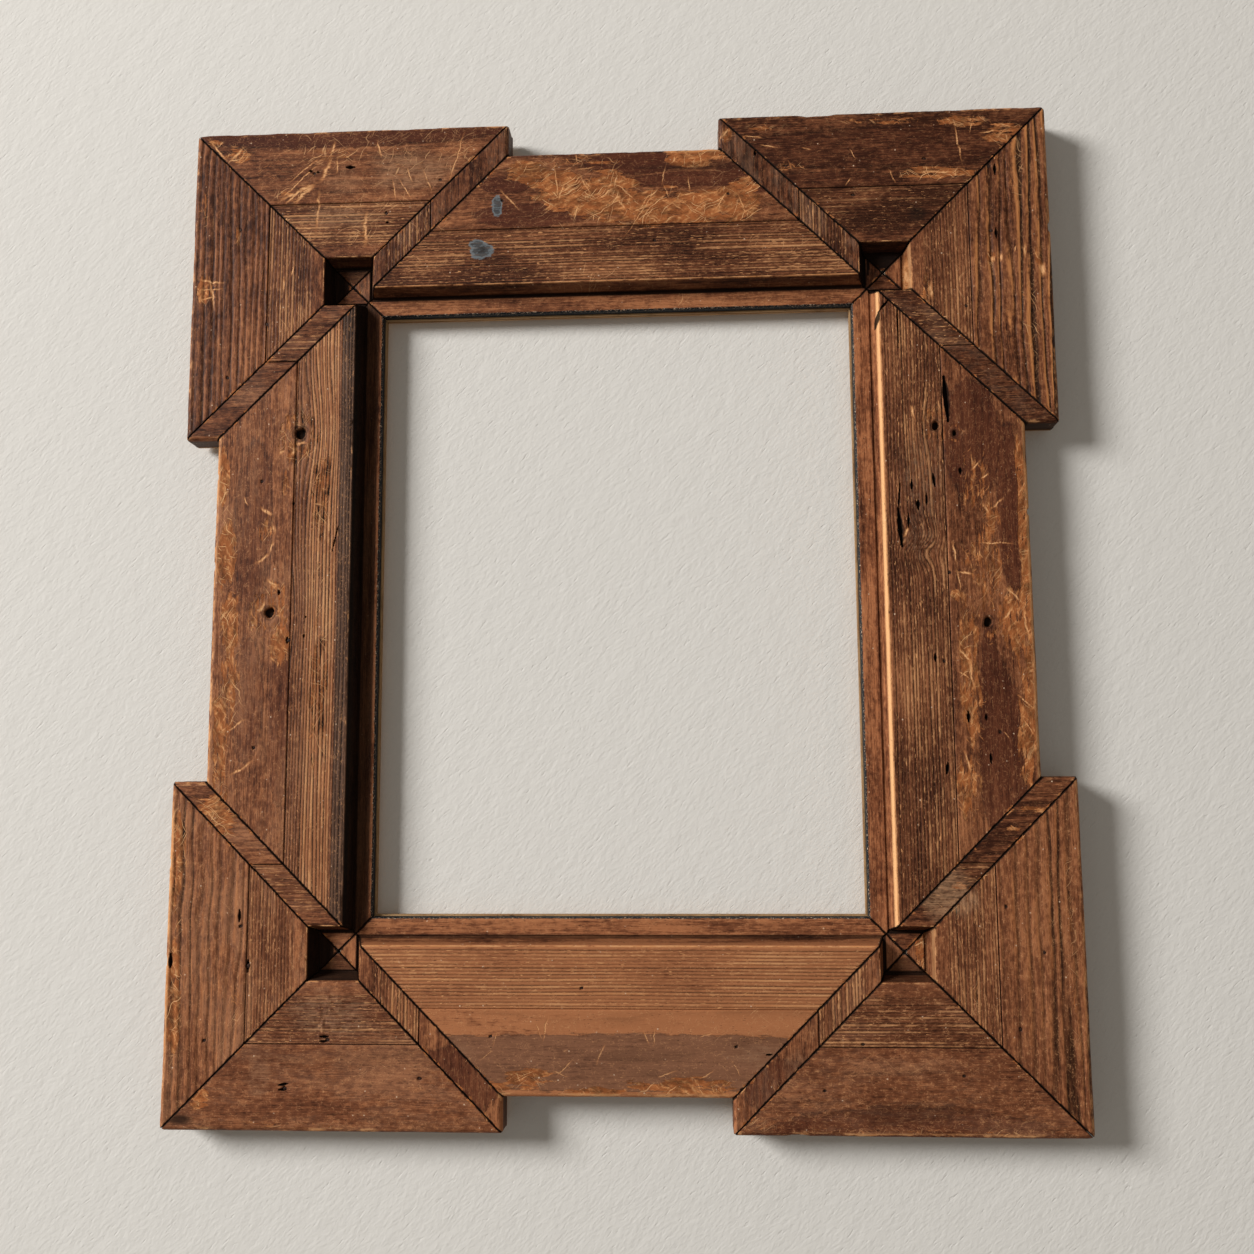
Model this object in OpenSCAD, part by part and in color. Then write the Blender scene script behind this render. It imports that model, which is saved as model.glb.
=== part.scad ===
// Picture frame made of old door casing, cut into mitred lengths that run round an eared outline.
// The frame hangs upright: X runs across it, Z up it, and the front faces -Y.
// The origin is the middle of the sight opening, on the plane of the wall behind the frame.

/* [Frame] */
// Width over the two side rails
rail_span_w = 580; // [500:5:700]
// Height over the top and bottom rails
rail_span_h = 672; // [560:5:900]
// How far each ear stands out past the rails
ear_out = 24; // [12:1:36]
// Length of each ear along its outer edge, from the corner to its end
ear_len = 237; // [190:1:245]

/* [Moulding] */
// Width of the flat face
face_w = 100; // [85:1:105]
// Width of the bevel that steps down from the face to the lip
step_w = 4; // [2:0.5:8]
// Width of the lip round the sight opening
lip_w = 14; // [8:1:18]
// Thickness of the moulding
board_t = 19; // [17:0.5:25]
// Depth of the step from the face down to the lip
step_d = 13; // [8:0.5:14]
// Radius worn on the outer edge
edge_round = 3; // [1:0.5:5]
// Radius worn on the edge of the lip
lip_round = 1.5; // [0.5:0.5:2]
// Distance from the outer edge to the line scored along the face
score_at = 58; // [50:1:70]
// Width of the scored line
score_w = 1.2; // [0.6:0.1:2]
// Depth of the scored line
score_d = 0.8; // [0.4:0.1:2]
// Width of the groove at the foot of the step
quirk_w = 1.6; // [0.8:0.1:3]
// Depth of the groove at the foot of the step
quirk_d = 1; // [0.5:0.1:1.5]
// Width of the open line at each mitre
joint_gap = 0.3; // [0.1:0.1:0.8]

/* [Back boards] */
// Thickness of the back boards
backing_t = 5; // [4:0.5:9]
// How far the back boards stop short of the outer edge
backing_inset = 1; // [0:0.5:6]
// How far the back boards show past the lip, inside the opening
backing_reveal = 1; // [0:0.5:4]

/* [Nails] */
// Diameter of a nail's shank
nail_d = 1.8; // [1.2:0.1:2.4]
// Diameter of a nail's head
nail_head_d = 3; // [2.6:0.1:4]
// Thickness of a nail's head
nail_head_t = 0.8; // [0.5:0.1:1.5]
// How far a nail's head is punched below the face
nail_set = 0.8; // [0.3:0.1:1.5]
// Length of a nail
nail_len = 22; // [18:0.5:23]

/* [Screws] */
// Diameter of a screw's shank
screw_d = 3.5; // [3:0.1:4]
// Diameter of a countersunk head
screw_head_d = 7; // [6:0.1:8]
// Height of a pan head on a hanger
pan_head_t = 2; // [1.5:0.1:2.5]
// Length of a screw
screw_len = 16; // [12:0.5:18]
// Distance from the outer edge to the screws in a rail or an ear
screw_in = 50; // [40:1:60]
// Spacing of the two screws in an ear
ear_screw_gap = 70; // [50:1:80]
// Spacing of the three screws in a rail
rail_screw_gap = 70; // [50:1:80]
// Distance from the outer edge to the screw in a return
return_screw_in = 30; // [25:1:45]

/* [Hangers] */
// Distance of each hanger from the middle of the frame
hanger_x = 231; // [220:1:245]
// Height of each ring's pivot above the middle of the frame
hanger_z = 150; // [135:1:165]
// Width of a hanger's strap
strap_w = 15; // [12:0.5:20]
// Thickness of the strap
strap_t = 1; // [0.8:0.1:1.6]
// Length of the strap below the pivot
strap_len = 38; // [34:1:50]
// Spacing of the two screws in a strap
strap_screw_gap = 12; // [9:0.5:16]
// Diameter of the ring's wire
wire_d = 2.4; // [2:0.1:3]
// Length of the ring's straight legs
ring_leg = 3; // [2:0.5:6]
// Gap on each side between the strap and the ring's legs
ring_side_gap = 1; // [0.6:0.1:2]
// Radial clearance of the wire in the strap's eye
eye_clear = 0.1; // [0.05:0.05:0.3]
// Gap between the ring and the strap when the ring hangs down
ring_back_gap = 0.3; // [0.2:0.1:1]

/* [Hidden] */
$fn = 32;

// Radial clearance round a nail or a screw in wood, and how far a cut runs past a surface
fastener_clear = 0.05;
cut_past = 1;

moulding_w = face_w + step_w + lip_w;
board_back = -backing_t;
face_y = board_back - board_t;
lip_y = face_y + step_d;
frame_t = backing_t + board_t;

// Outer edges of the rails and of the ears, from the middle of the frame
rail_x = rail_span_w / 2;
rail_z = rail_span_h / 2;
ear_x = rail_x + ear_out;
ear_z = rail_z + ear_out;

// Lengths of the rails' outer edges, between the ears
ear_reach = ear_len - ear_out;
top_len = rail_span_w - 2 * ear_reach;
side_len = rail_span_h - 2 * ear_reach;

// A mitre line lies half a joint gap back from the true 45 degree line, measured along the edge
mitre_back = joint_gap / 2 * sqrt(2);

// Inner edges of the back boards
backing_in_x = rail_x - moulding_w - backing_reveal;
backing_in_z = rail_z - moulding_w - backing_reveal;
backing_rail_x = rail_x - backing_inset;
backing_rail_z = rail_z - backing_inset;
backing_ear_x = ear_x - backing_inset;
backing_ear_z = ear_z - backing_inset;
backing_ear_end_x = top_len / 2 + backing_inset;
backing_ear_end_z = side_len / 2 + backing_inset;

// Nails of the ears, one list for each corner in the order of CORNERS below.
// A nail is [distance in from the outer edge, distance from the frame's corner], or from the ear's
// other end where the second is negative.
CORNERS = [[0, 0], [1, 0], [0, 1], [1, 1]];
ACROSS_NAILS = [
    [[34, 91], [67, -91], [42, -51]],
    [[38, 88], [64, -97], [40, -49]],
    [[29, 87], [61, 116], [36, -57]],
    [[40, 84], [60, -87], [30, -61]]
];
UPRIGHT_NAILS = [
    [[36, 76], [58, -87], [30, -47]],
    [[42, 45], [42, 94], [62, -87]],
    [[53, -100], [59, 110], [30, 60]],
    [[46, 70], [52, -87], [28, -117]]
];
// Nails of the rails. A nail is [distance in from the outer edge, distance from the middle of the rail].
TOP_NAILS = [[36, -82], [36, 84], [70, 30]];
BOTTOM_NAILS = [[40, -86], [34, 80], [72, -24]];
LEFT_NAILS = [[34, -100], [57, -24], [34, 92]];
RIGHT_NAILS = [[63, -44], [57, 18], [27, -93]];

// Places on the moulding, turned into [x, z] on the frame. A piece is drawn for the top left corner,
// the left side or the top, and flipped into its own place.
function flip(p, side) = [side[0] == 1 ? -p[0] : p[0], side[1] == 1 ? -p[1] : p[1]];
function along_ear(s) = s < 0 ? ear_len + s : s;
function across_xz(p) = [-ear_x + along_ear(p[1]), ear_z - p[0]];
function upright_xz(p) = [-ear_x + p[0], ear_z - along_ear(p[1])];
function across_return_xz(p) = [-ear_x + ear_len - p[0], ear_z - p[1]];
function upright_return_xz(p) = [-ear_x + p[1], ear_z - ear_len + p[0]];
function top_xz(p) = [p[1], rail_z - p[0]];
function side_xz(p) = [-rail_x + p[0], p[1]];

// Screws, in the same way as the nails
ear_screws = [for (k = [-0.5, 0.5]) [screw_in, ear_len / 2 + k * ear_screw_gap]];
return_screws = [[return_screw_in, return_screw_in + ear_out / 2]];
rail_screws = [for (k = [-1, 0, 1]) [screw_in, k * rail_screw_gap]];

function across_nails(c) = [for (p = ACROSS_NAILS[c]) flip(across_xz(p), CORNERS[c])];
function upright_nails(c) = [for (p = UPRIGHT_NAILS[c]) flip(upright_xz(p), CORNERS[c])];
function across_screws(c) = [for (p = ear_screws) flip(across_xz(p), CORNERS[c])];
function upright_screws(c) = [for (p = ear_screws) flip(upright_xz(p), CORNERS[c])];
function across_return_screws(c) = [for (p = return_screws) flip(across_return_xz(p), CORNERS[c])];
function upright_return_screws(c) = [for (p = return_screws) flip(upright_return_xz(p), CORNERS[c])];
top_nails = [for (p = TOP_NAILS) top_xz(p)];
bottom_nails = [for (p = BOTTOM_NAILS) flip(top_xz(p), [0, 1])];
left_nails = [for (p = LEFT_NAILS) side_xz(p)];
right_nails = [for (p = RIGHT_NAILS) flip(side_xz(p), [1, 0])];
top_screws = [for (p = rail_screws) top_xz(p)];
bottom_screws = [for (p = top_screws) flip(p, [0, 1])];
left_screws = [for (p = rail_screws) side_xz(p)];
right_screws = [for (p = left_screws) flip(p, [1, 0])];

all_nails = concat(
    [for (c = [0:3]) each across_nails(c)],
    [for (c = [0:3]) each upright_nails(c)],
    top_nails, bottom_nails, left_nails, right_nails
);
all_screws = concat(
    [for (c = [0:3]) each across_screws(c)],
    [for (c = [0:3]) each upright_screws(c)],
    [for (c = [0:3]) each across_return_screws(c)],
    [for (c = [0:3]) each upright_return_screws(c)],
    top_screws, bottom_screws, left_screws, right_screws
);

// Crosses cut into the screws' heads
cross_len = screw_head_d * 0.6;
cross_w = 1;
cross_depth = 1;

// Flat top of a pan head, and the height of its straight rim
pan_top_d = screw_head_d * 0.6;
pan_rim_t = pan_head_t * 0.35;

// Hangers: the eye's axis stands off the back boards, so that the ring clears the strap
eye_r = wire_d / 2 + eye_clear;
eye_out_r = eye_r + strap_t;
pivot_y = strap_t + ring_back_gap + wire_d / 2;
ring_half_w = strap_w / 2 + ring_side_gap + wire_d / 2;
strap_screw_z = hanger_z - strap_len + strap_w / 2;
left_strap_screws = [for (k = [0, 1]) [-hanger_x, strap_screw_z + k * strap_screw_gap]];
right_strap_screws = [for (p = left_strap_screws) flip(p, [1, 0])];
all_strap_screws = concat(left_strap_screws, right_strap_screws);

// Colours of the piece as it is seen: worn stain on old softwood, bare wood, and metal
wood_dark = [0.30, 0.17, 0.11];
wood_brown = [0.42, 0.25, 0.16];
wood_worn = [0.55, 0.34, 0.20];
wood_back = [0.62, 0.50, 0.36];
metal_dull = [0.55, 0.54, 0.52];
metal_dark = [0.25, 0.22, 0.20];

// The square corner of a profile outside a rounding, for a corner at the origin with wood towards +X and +Y
module corner_waste(r) {
    difference() {
        translate([-cut_past, -cut_past]) square(r + cut_past);
        translate([r, r]) circle(r);
    }
}

// Section of the moulding: X is the distance in from the outer edge, Y runs from the face to the back
module profile() {
    difference() {
        polygon([
            [0, board_back], [0, face_y], [face_w, face_y], [face_w + step_w, lip_y],
            [moulding_w, lip_y], [moulding_w, board_back]
        ]);
        translate([0, face_y]) corner_waste(edge_round);
        translate([moulding_w, lip_y]) mirror([1, 0]) corner_waste(lip_round);
        polygon([
            [score_at - score_w, face_y - score_d], [score_at + score_w, face_y - score_d],
            [score_at, face_y + score_d]
        ]);
        translate([face_w + step_w, lip_y - quirk_d]) square([quirk_w, 2 * quirk_d]);
    }
}

// A length of moulding with its outer edge on the Z axis, cut to an outline of [distance in, distance along]
module cut_moulding(outline) {
    low = min([for (p = outline) p[1]]) - cut_past;
    high = max([for (p = outline) p[1]]) + cut_past;
    intersection() {
        translate([0, 0, low]) linear_extrude(high - low) profile();
        translate([0, cut_past, 0]) rotate([90, 0, 0])
            linear_extrude(frame_t + 2 * cut_past) polygon(outline);
    }
}

// An ear is mitred inwards at both ends
module ear_blank() {
    cut_moulding([
        [0, mitre_back], [0, ear_len - mitre_back], [ear_len / 2 - mitre_back, ear_len / 2]
    ]);
}

// A return lies between two parallel mitres and ends on the corner's diagonal
module return_blank() {
    cut_moulding([
        [0, mitre_back], [0, ear_out - mitre_back],
        [ear_reach / 2, (ear_len + ear_out) / 2 - mitre_back],
        [ear_len / 2 - mitre_back, ear_len / 2]
    ]);
}

// A rail widens at both ends behind the returns, up to the two corners' diagonals
module rail_blank(len) {
    cut_moulding([
        [0, mitre_back - len / 2], [0, len / 2 - mitre_back],
        [ear_reach / 2, len / 2 + ear_reach / 2 - mitre_back],
        [len / 2 + ear_reach - mitre_back, 0],
        [ear_reach / 2, mitre_back - len / 2 - ear_reach / 2]
    ]);
}

// Solid of revolution on the Y axis, drawn as [radius, depth], for nails, screws and their holes
module turned_on_y(outline) {
    rotate([90, 0, 0]) rotate_extrude() polygon(outline);
}

// A nail seen from the face, with its head punched below it
module nail(spread) {
    head_r = nail_head_d / 2 + spread;
    shank_r = nail_d / 2 + spread;
    top = -face_y - nail_set + spread;
    turned_on_y([
        [0, top], [head_r, top], [head_r, top - nail_head_t - spread], [shank_r, top - nail_head_t - spread],
        [shank_r, top - nail_len + nail_d], [0, top - nail_len - spread]
    ]);
}

module nail_hole() {
    nail(fastener_clear);
    rotate([90, 0, 0]) translate([0, 0, -face_y - nail_set])
        cylinder(r = nail_head_d / 2 + fastener_clear, h = nail_set + cut_past);
}

// A countersunk screw driven from the back, flush with the back boards
module countersunk(spread) {
    head_r = screw_head_d / 2 + spread;
    shank_r = screw_d / 2 + spread;
    turned_on_y([
        [0, 0], [head_r, 0], [shank_r, head_r - shank_r], [shank_r, screw_len - screw_d],
        [0, screw_len + spread]
    ]);
}

// A cross cut into a screw's head, whose top is at Y = 0
module drive_cross() {
    for (turn = [0, 90]) rotate([0, turn, 0])
        translate([-cross_len / 2, -cross_depth, -cross_w / 2])
            cube([cross_len, cross_depth + cut_past, cross_w]);
}

module screw_hole() {
    countersunk(fastener_clear);
    translate([0, cut_past, 0]) rotate([90, 0, 0])
        cylinder(r = screw_head_d / 2 + fastener_clear, h = cut_past);
}

// A pan head screw driven from the back through a strap
module pan_screw(spread) {
    shank_r = screw_d / 2 + spread;
    turned_on_y([
        [0, -strap_t - pan_head_t], [pan_top_d / 2, -strap_t - pan_head_t],
        [screw_head_d / 2, -strap_t - pan_rim_t], [screw_head_d / 2, -strap_t], [shank_r, -strap_t],
        [shank_r, screw_len - screw_d], [0, screw_len + spread]
    ]);
}

module at_spots(spots) {
    for (p = spots) translate([p[0], 0, p[1]]) children();
}

module in_corner(c) {
    mirror([CORNERS[c][0], 0, 0]) mirror([0, 0, CORNERS[c][1]]) children();
}

// A blank with the holes of its own nails and screws
module drilled(nails, screws) {
    difference() {
        children();
        at_spots(nails) nail_hole();
        at_spots(screws) screw_hole();
    }
}

module ear_across(c) {
    drilled(across_nails(c), across_screws(c))
        in_corner(c) translate([-ear_x, 0, ear_z]) rotate([0, 90, 0]) ear_blank();
}

module ear_upright(c) {
    drilled(upright_nails(c), upright_screws(c))
        in_corner(c) translate([-ear_x, 0, ear_z]) mirror([0, 0, 1]) ear_blank();
}

module return_across(c) {
    drilled([], across_return_screws(c))
        in_corner(c) translate([-ear_x + ear_len, 0, ear_z]) rotate([0, 180, 0]) return_blank();
}

module return_upright(c) {
    drilled([], upright_return_screws(c))
        in_corner(c) translate([-ear_x, 0, ear_z - ear_len]) mirror([1, 0, -1]) return_blank();
}

module rail_across(bottom, nails, screws) {
    drilled(nails, screws)
        mirror([0, 0, bottom]) translate([0, 0, rail_z]) rotate([0, 90, 0]) rail_blank(top_len);
}

module rail_upright(right, nails, screws, hanger_spots) {
    drilled(nails, concat(screws, hanger_spots))
        mirror([right, 0, 0]) translate([-rail_x, 0, 0]) rail_blank(side_len);
}

// Back boards: the top and bottom ones run the full width and tie the corners, the side ones fill in between
module board(outline) {
    rotate([90, 0, 0]) linear_extrude(backing_t) polygon(outline);
}

module backing_across(bottom) {
    side = bottom == 1 ? -1 : 1;
    difference() {
        mirror([0, 0, bottom]) board([
            [-backing_ear_x, backing_in_z], [-backing_ear_x, backing_ear_z],
            [-backing_ear_end_x, backing_ear_z], [-backing_ear_end_x, backing_rail_z],
            [backing_ear_end_x, backing_rail_z], [backing_ear_end_x, backing_ear_z],
            [backing_ear_x, backing_ear_z], [backing_ear_x, backing_in_z]
        ]);
        at_spots([for (p = all_nails) if (p[1] * side > backing_in_z - nail_head_d) p]) nail_hole();
        at_spots([for (p = all_screws) if (p[1] * side > backing_in_z - screw_head_d) p]) screw_hole();
    }
}

module backing_upright(right) {
    reach = backing_in_z - joint_gap;
    side = right == 1 ? 1 : -1;
    difference() {
        mirror([right, 0, 0]) board([
            [-backing_ear_x, reach], [-backing_in_x, reach],
            [-backing_in_x, -reach], [-backing_ear_x, -reach],
            [-backing_ear_x, -backing_ear_end_z], [-backing_rail_x, -backing_ear_end_z],
            [-backing_rail_x, backing_ear_end_z], [-backing_ear_x, backing_ear_end_z]
        ]);
        at_spots([for (p = all_nails) if (p[0] * side > 0 && abs(p[1]) < backing_in_z + nail_head_d) p])
            nail_hole();
        at_spots([for (p = all_screws) if (p[0] * side > 0 && abs(p[1]) < backing_in_z + screw_head_d) p])
            screw_hole();
        at_spots([for (p = all_strap_screws) if (p[0] * side > 0) p]) pan_screw(fastener_clear);
    }
}

// A strap with a round lower end, two holes, and its top curled into an eye for the ring
module hanger_strap() {
    difference() {
        union() {
            rotate([-90, 0, 0]) linear_extrude(strap_t) {
                translate([-strap_w / 2, -hanger_z]) square([strap_w, strap_len - strap_w / 2]);
                translate([0, -strap_screw_z]) circle(d = strap_w);
            }
            translate([0, pivot_y, hanger_z]) rotate([0, 90, 0])
                cylinder(r = eye_out_r, h = strap_w, center = true);
        }
        translate([0, pivot_y, hanger_z]) rotate([0, 90, 0])
            cylinder(r = eye_r, h = strap_w + 2 * cut_past, center = true);
        for (k = [0, 1]) translate([0, -cut_past, strap_screw_z + k * strap_screw_gap]) rotate([-90, 0, 0])
            cylinder(r = screw_d / 2 + fastener_clear, h = strap_t + 2 * cut_past);
    }
}

// A ring of bent wire: a bar through the eye, two short legs and a round bow
module hanger_ring() {
    translate([0, pivot_y, hanger_z]) {
        rotate([0, 90, 0]) cylinder(d = wire_d, h = 2 * ring_half_w, center = true);
        for (side = [-1, 1]) translate([side * ring_half_w, 0, 0]) {
            sphere(d = wire_d);
            translate([0, 0, -ring_leg]) cylinder(d = wire_d, h = ring_leg);
        }
        translate([0, 0, -ring_leg]) rotate([90, 0, 0]) rotate([0, 0, 180]) rotate_extrude(angle = 180)
            translate([ring_half_w, 0]) circle(d = wire_d);
    }
}

module rail_top() { color(wood_dark) rail_across(0, top_nails, top_screws); }
module rail_bottom() { color(wood_worn) rail_across(1, bottom_nails, bottom_screws); }
module rail_left() { color(wood_brown) rail_upright(0, left_nails, left_screws, left_strap_screws); }
module rail_right() { color(wood_worn) rail_upright(1, right_nails, right_screws, right_strap_screws); }

module ear_top_left_across() { color(wood_dark) ear_across(0); }
module ear_top_left_upright() { color(wood_dark) ear_upright(0); }
module ear_top_right_across() { color(wood_dark) ear_across(1); }
module ear_top_right_upright() { color(wood_brown) ear_upright(1); }
module ear_bottom_left_across() { color(wood_brown) ear_across(2); }
module ear_bottom_left_upright() { color(wood_brown) ear_upright(2); }
module ear_bottom_right_across() { color(wood_worn) ear_across(3); }
module ear_bottom_right_upright() { color(wood_brown) ear_upright(3); }

module return_top_left_across() { color(wood_dark) return_across(0); }
module return_top_left_upright() { color(wood_brown) return_upright(0); }
module return_top_right_across() { color(wood_dark) return_across(1); }
module return_top_right_upright() { color(wood_dark) return_upright(1); }
module return_bottom_left_across() { color(wood_brown) return_across(2); }
module return_bottom_left_upright() { color(wood_brown) return_upright(2); }
module return_bottom_right_across() { color(wood_worn) return_across(3); }
module return_bottom_right_upright() { color(wood_brown) return_upright(3); }

module backing_top() { color(wood_back) backing_across(0); }
module backing_bottom() { color(wood_back) backing_across(1); }
module backing_left() { color(wood_back) backing_upright(0); }
module backing_right() { color(wood_back) backing_upright(1); }

module face_nails() { color(metal_dark) at_spots(all_nails) nail(0); }

module backing_screws() {
    color(metal_dull) at_spots(all_screws) difference() {
        countersunk(0);
        drive_cross();
    }
}

module hanger_screws() {
    color(metal_dull) at_spots(all_strap_screws) difference() {
        pan_screw(0);
        translate([0, strap_t + pan_head_t, 0]) drive_cross();
    }
}

module hanger_strap_left() { color(metal_dull) translate([-hanger_x, 0, 0]) hanger_strap(); }
module hanger_strap_right() { color(metal_dull) translate([hanger_x, 0, 0]) hanger_strap(); }
module hanger_ring_left() { color(metal_dull) translate([-hanger_x, 0, 0]) hanger_ring(); }
module hanger_ring_right() { color(metal_dull) translate([hanger_x, 0, 0]) hanger_ring(); }

rail_top();
rail_bottom();
rail_left();
rail_right();
ear_top_left_across();
ear_top_left_upright();
ear_top_right_across();
ear_top_right_upright();
ear_bottom_left_across();
ear_bottom_left_upright();
ear_bottom_right_across();
ear_bottom_right_upright();
return_top_left_across();
return_top_left_upright();
return_top_right_across();
return_top_right_upright();
return_bottom_left_across();
return_bottom_left_upright();
return_bottom_right_across();
return_bottom_right_upright();
backing_top();
backing_bottom();
backing_left();
backing_right();
face_nails();
backing_screws();
hanger_strap_left();
hanger_strap_right();
hanger_ring_left();
hanger_ring_right();
hanger_screws();
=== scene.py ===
"""Old casing picture frame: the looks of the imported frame, laid out as an add-on and run as a script."""

import math
from types import SimpleNamespace

import bmesh
import bpy
import numpy as np
from bpy.props import FloatProperty, FloatVectorProperty, PointerProperty
from mathutils import Matrix, Vector


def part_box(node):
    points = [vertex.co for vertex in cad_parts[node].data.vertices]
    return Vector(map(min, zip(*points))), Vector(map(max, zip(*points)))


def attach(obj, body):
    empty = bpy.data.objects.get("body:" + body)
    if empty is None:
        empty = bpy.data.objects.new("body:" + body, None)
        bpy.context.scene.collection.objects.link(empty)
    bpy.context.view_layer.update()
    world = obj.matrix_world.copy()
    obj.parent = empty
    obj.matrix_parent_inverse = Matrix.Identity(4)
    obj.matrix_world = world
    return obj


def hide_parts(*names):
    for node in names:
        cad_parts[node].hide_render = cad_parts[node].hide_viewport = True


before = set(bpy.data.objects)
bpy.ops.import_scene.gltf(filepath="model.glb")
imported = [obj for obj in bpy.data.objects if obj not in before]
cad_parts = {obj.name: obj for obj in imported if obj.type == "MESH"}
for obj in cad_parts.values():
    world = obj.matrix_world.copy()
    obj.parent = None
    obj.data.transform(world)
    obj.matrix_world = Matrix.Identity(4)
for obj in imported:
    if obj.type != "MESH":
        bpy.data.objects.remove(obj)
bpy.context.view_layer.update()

bl_info = {
    "name": "Old casing picture frame",
    "version": (1, 0, 0),
    "blender": (4, 5, 0),
    "location": "3D View > Sidebar > Frame",
    "description": "Builds a wall frame of old mitred door casing, with its wear, its hardware and its stage",
    "category": "Add Mesh",
}


# Sizes and colours that a user would change


def far_corner(node):
    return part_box(node)[1]


def near_corner(node):
    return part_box(node)[0]


def size(name, description, default, low=0.0):
    return FloatProperty(name=name, description=description, default=default, min=low, precision=4, unit="LENGTH")


def power(name, description, default):
    return FloatProperty(name=name, description=description, default=default, min=0, unit="POWER")

def colour(name, description, red, green, blue):
    """A colour given in the eye's numbers, 0 to 255, and kept as light."""
    light = [pow((c / 255 + 0.055) / 1.055, 2.4) if c > 10 else c / 255 / 12.92 for c in (red, green, blue)]
    return FloatVectorProperty(name=name, description=description, default=light, subtype="COLOR", min=0, max=1)


class FrameSizes(bpy.types.PropertyGroup):
    rail_x: size("Side rails", "Outer edge of the side rails, from the middle", far_corner("rail_right").x)
    rail_z: size("Top rail", "Outer edge of the top rail, from the middle", far_corner("rail_top").z)
    ear_x: size("Ears across", "Outer edge of the ears, from the middle", far_corner("ear_top_right_upright").x)
    ear_z: size("Ears up", "Top edge of the ears, from the middle", far_corner("ear_top_right_across").z)
    ear_length: size(
        "Ear length", "Length of an ear's outer edge",
        far_corner("ear_top_right_across").x - near_corner("return_top_right_across").x,
    )
    face_y: size("Face", "Where the front of the casing lies", near_corner("rail_top").y, -1.0)
    back_y: size("Back of the casing", "Where the casing meets the back boards", far_corner("rail_top").y, -1.0)
    face_width: size("Face width", "Flat face of the casing", 0.100)
    step_width: size("Step width", "Bevel that drops from the face to the lip", 0.004)
    step_depth: size("Step depth", "Height of that bevel", 0.013)
    lip_width: size("Lip width", "Lip round the sight opening", 0.014)
    band_width: size("Band width", "Smooth band beside the step", 0.009)
    edge_round: size("Outer rounding", "Radius worn on the outer edge", 0.003)
    lip_round: size("Lip rounding", "Radius worn on the lip", 0.0015)
    score_place: size("Scored line", "Distance of the scored line from the outer edge", 0.058)
    score_width: size("Scored line width", "Width of the scored line", 0.0014)
    score_depth: size("Scored line depth", "Depth of the scored line", 0.0009)
    quirk_width: size("Quirk width", "Width of the groove at the foot of the step", 0.0016)
    quirk_depth: size("Quirk depth", "Depth of that groove", 0.001)
    joint_gap: size("Mitre gap", "Width of the open line at a mitre", 0.0003)
    ridge_spacing: size("Ridge spacing", "Spacing of the fine ridges beside the lip", 0.0023)
    ridge_depth: size("Ridge depth", "Depth of the valleys between the ridges", 0.00030)
    mesh_step: size("Mesh step", "Spacing of the mesh along the grain", 0.0025, 0.0005)


class HardwareSizes(bpy.types.PropertyGroup):
    nail_head: size("Nail head", "Diameter of a nail's head", 0.003)
    nail_shank: size("Nail shank", "Diameter of a nail's shank", 0.0018)
    nail_length: size("Nail length", "Length of a nail", 0.0215)
    screw_head: size("Screw head", "Diameter of a screw's head", 0.007)
    screw_shank: size("Screw shank", "Diameter over a screw's thread", 0.0035)
    screw_length: size("Screw length", "Length of a screw in the wood", 0.016)
    screw_inset: size("Screw inset", "Distance of a screw from the casing's outer edge", 0.050)
    screw_gap: size("Screw gap", "Distance between the screws of one piece", 0.070)
    return_screw_inset: size("Return screw inset", "Distance of a return's screw from its outer edge", 0.030)
    hanger_x: size("Hangers across", "Distance of the hangers from the middle", 0.231)
    hanger_z: size("Hanger height", "Height of the rings' bars above the middle", 0.150)
    strap_width: size("Strap width", "Width of a strap", 0.015)
    strap_thickness: size("Strap thickness", "Thickness of a strap", 0.001)
    strap_length: size("Strap length", "Length of a strap below the ring's bar", 0.038)
    strap_screw_gap: size("Strap screw gap", "Distance between a strap's screws", 0.012)
    pan_height: size("Pan head", "Height of the heads on the straps", 0.002)
    wire: size("Ring wire", "Diameter of the rings' wire", 0.0024)
    ring_leg: size("Ring leg", "Straight part of a ring below its bar", 0.003)
    ring_side_gap: size("Ring side gap", "Play between a ring's legs and the strap", 0.001)
    ring_gap: size("Ring gap", "Play between a ring's wire and the strap", 0.0003)
    eye_clear: size("Roll play", "Play between the roll and the ring's bar", 0.0001)


class WoodColours(bpy.types.PropertyGroup):
    deep: colour("Deep stain", "Old stain where it is darkest", 52, 25, 14)
    brown: colour("Brown stain", "Old stain at its usual strength", 116, 68, 43)
    light: colour("Thin stain", "Stain worn thin", 174, 112, 73)
    red: colour("Red stain", "Thick dark red stain", 92, 47, 31)
    rust: colour("Rubbed rust", "Wood rubbed part of the way through the stain", 160, 93, 50)
    amber: colour("Rubbed amber", "Wood rubbed through the stain", 209, 139, 84)
    tan: colour("Bare tan", "Bare wood in scratches and on edges", 234, 178, 124)
    # Also laid as painted shade in the quirk, the step and on the lip
    grime_and_shade: colour("Grime", "Dirt in joints, holes and cracks", 13, 7, 4)
    weathered: colour("Weathered", "Greyed old wood", 140, 108, 88)
    sooty: colour("Blue stain", "Blue grey stains", 112, 122, 126)
    sight_paint: colour("Sight edge paint", "Dark paint on the edge of the lip", 26, 31, 35)
    fleck: colour("Flecks", "Specks of old pale paint", 216, 206, 190)
    ply: colour("Back boards", "Bare plywood", 188, 150, 106)
    ply_deep: colour("Back boards, deep", "Darker figure of the plywood", 140, 100, 64)


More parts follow.
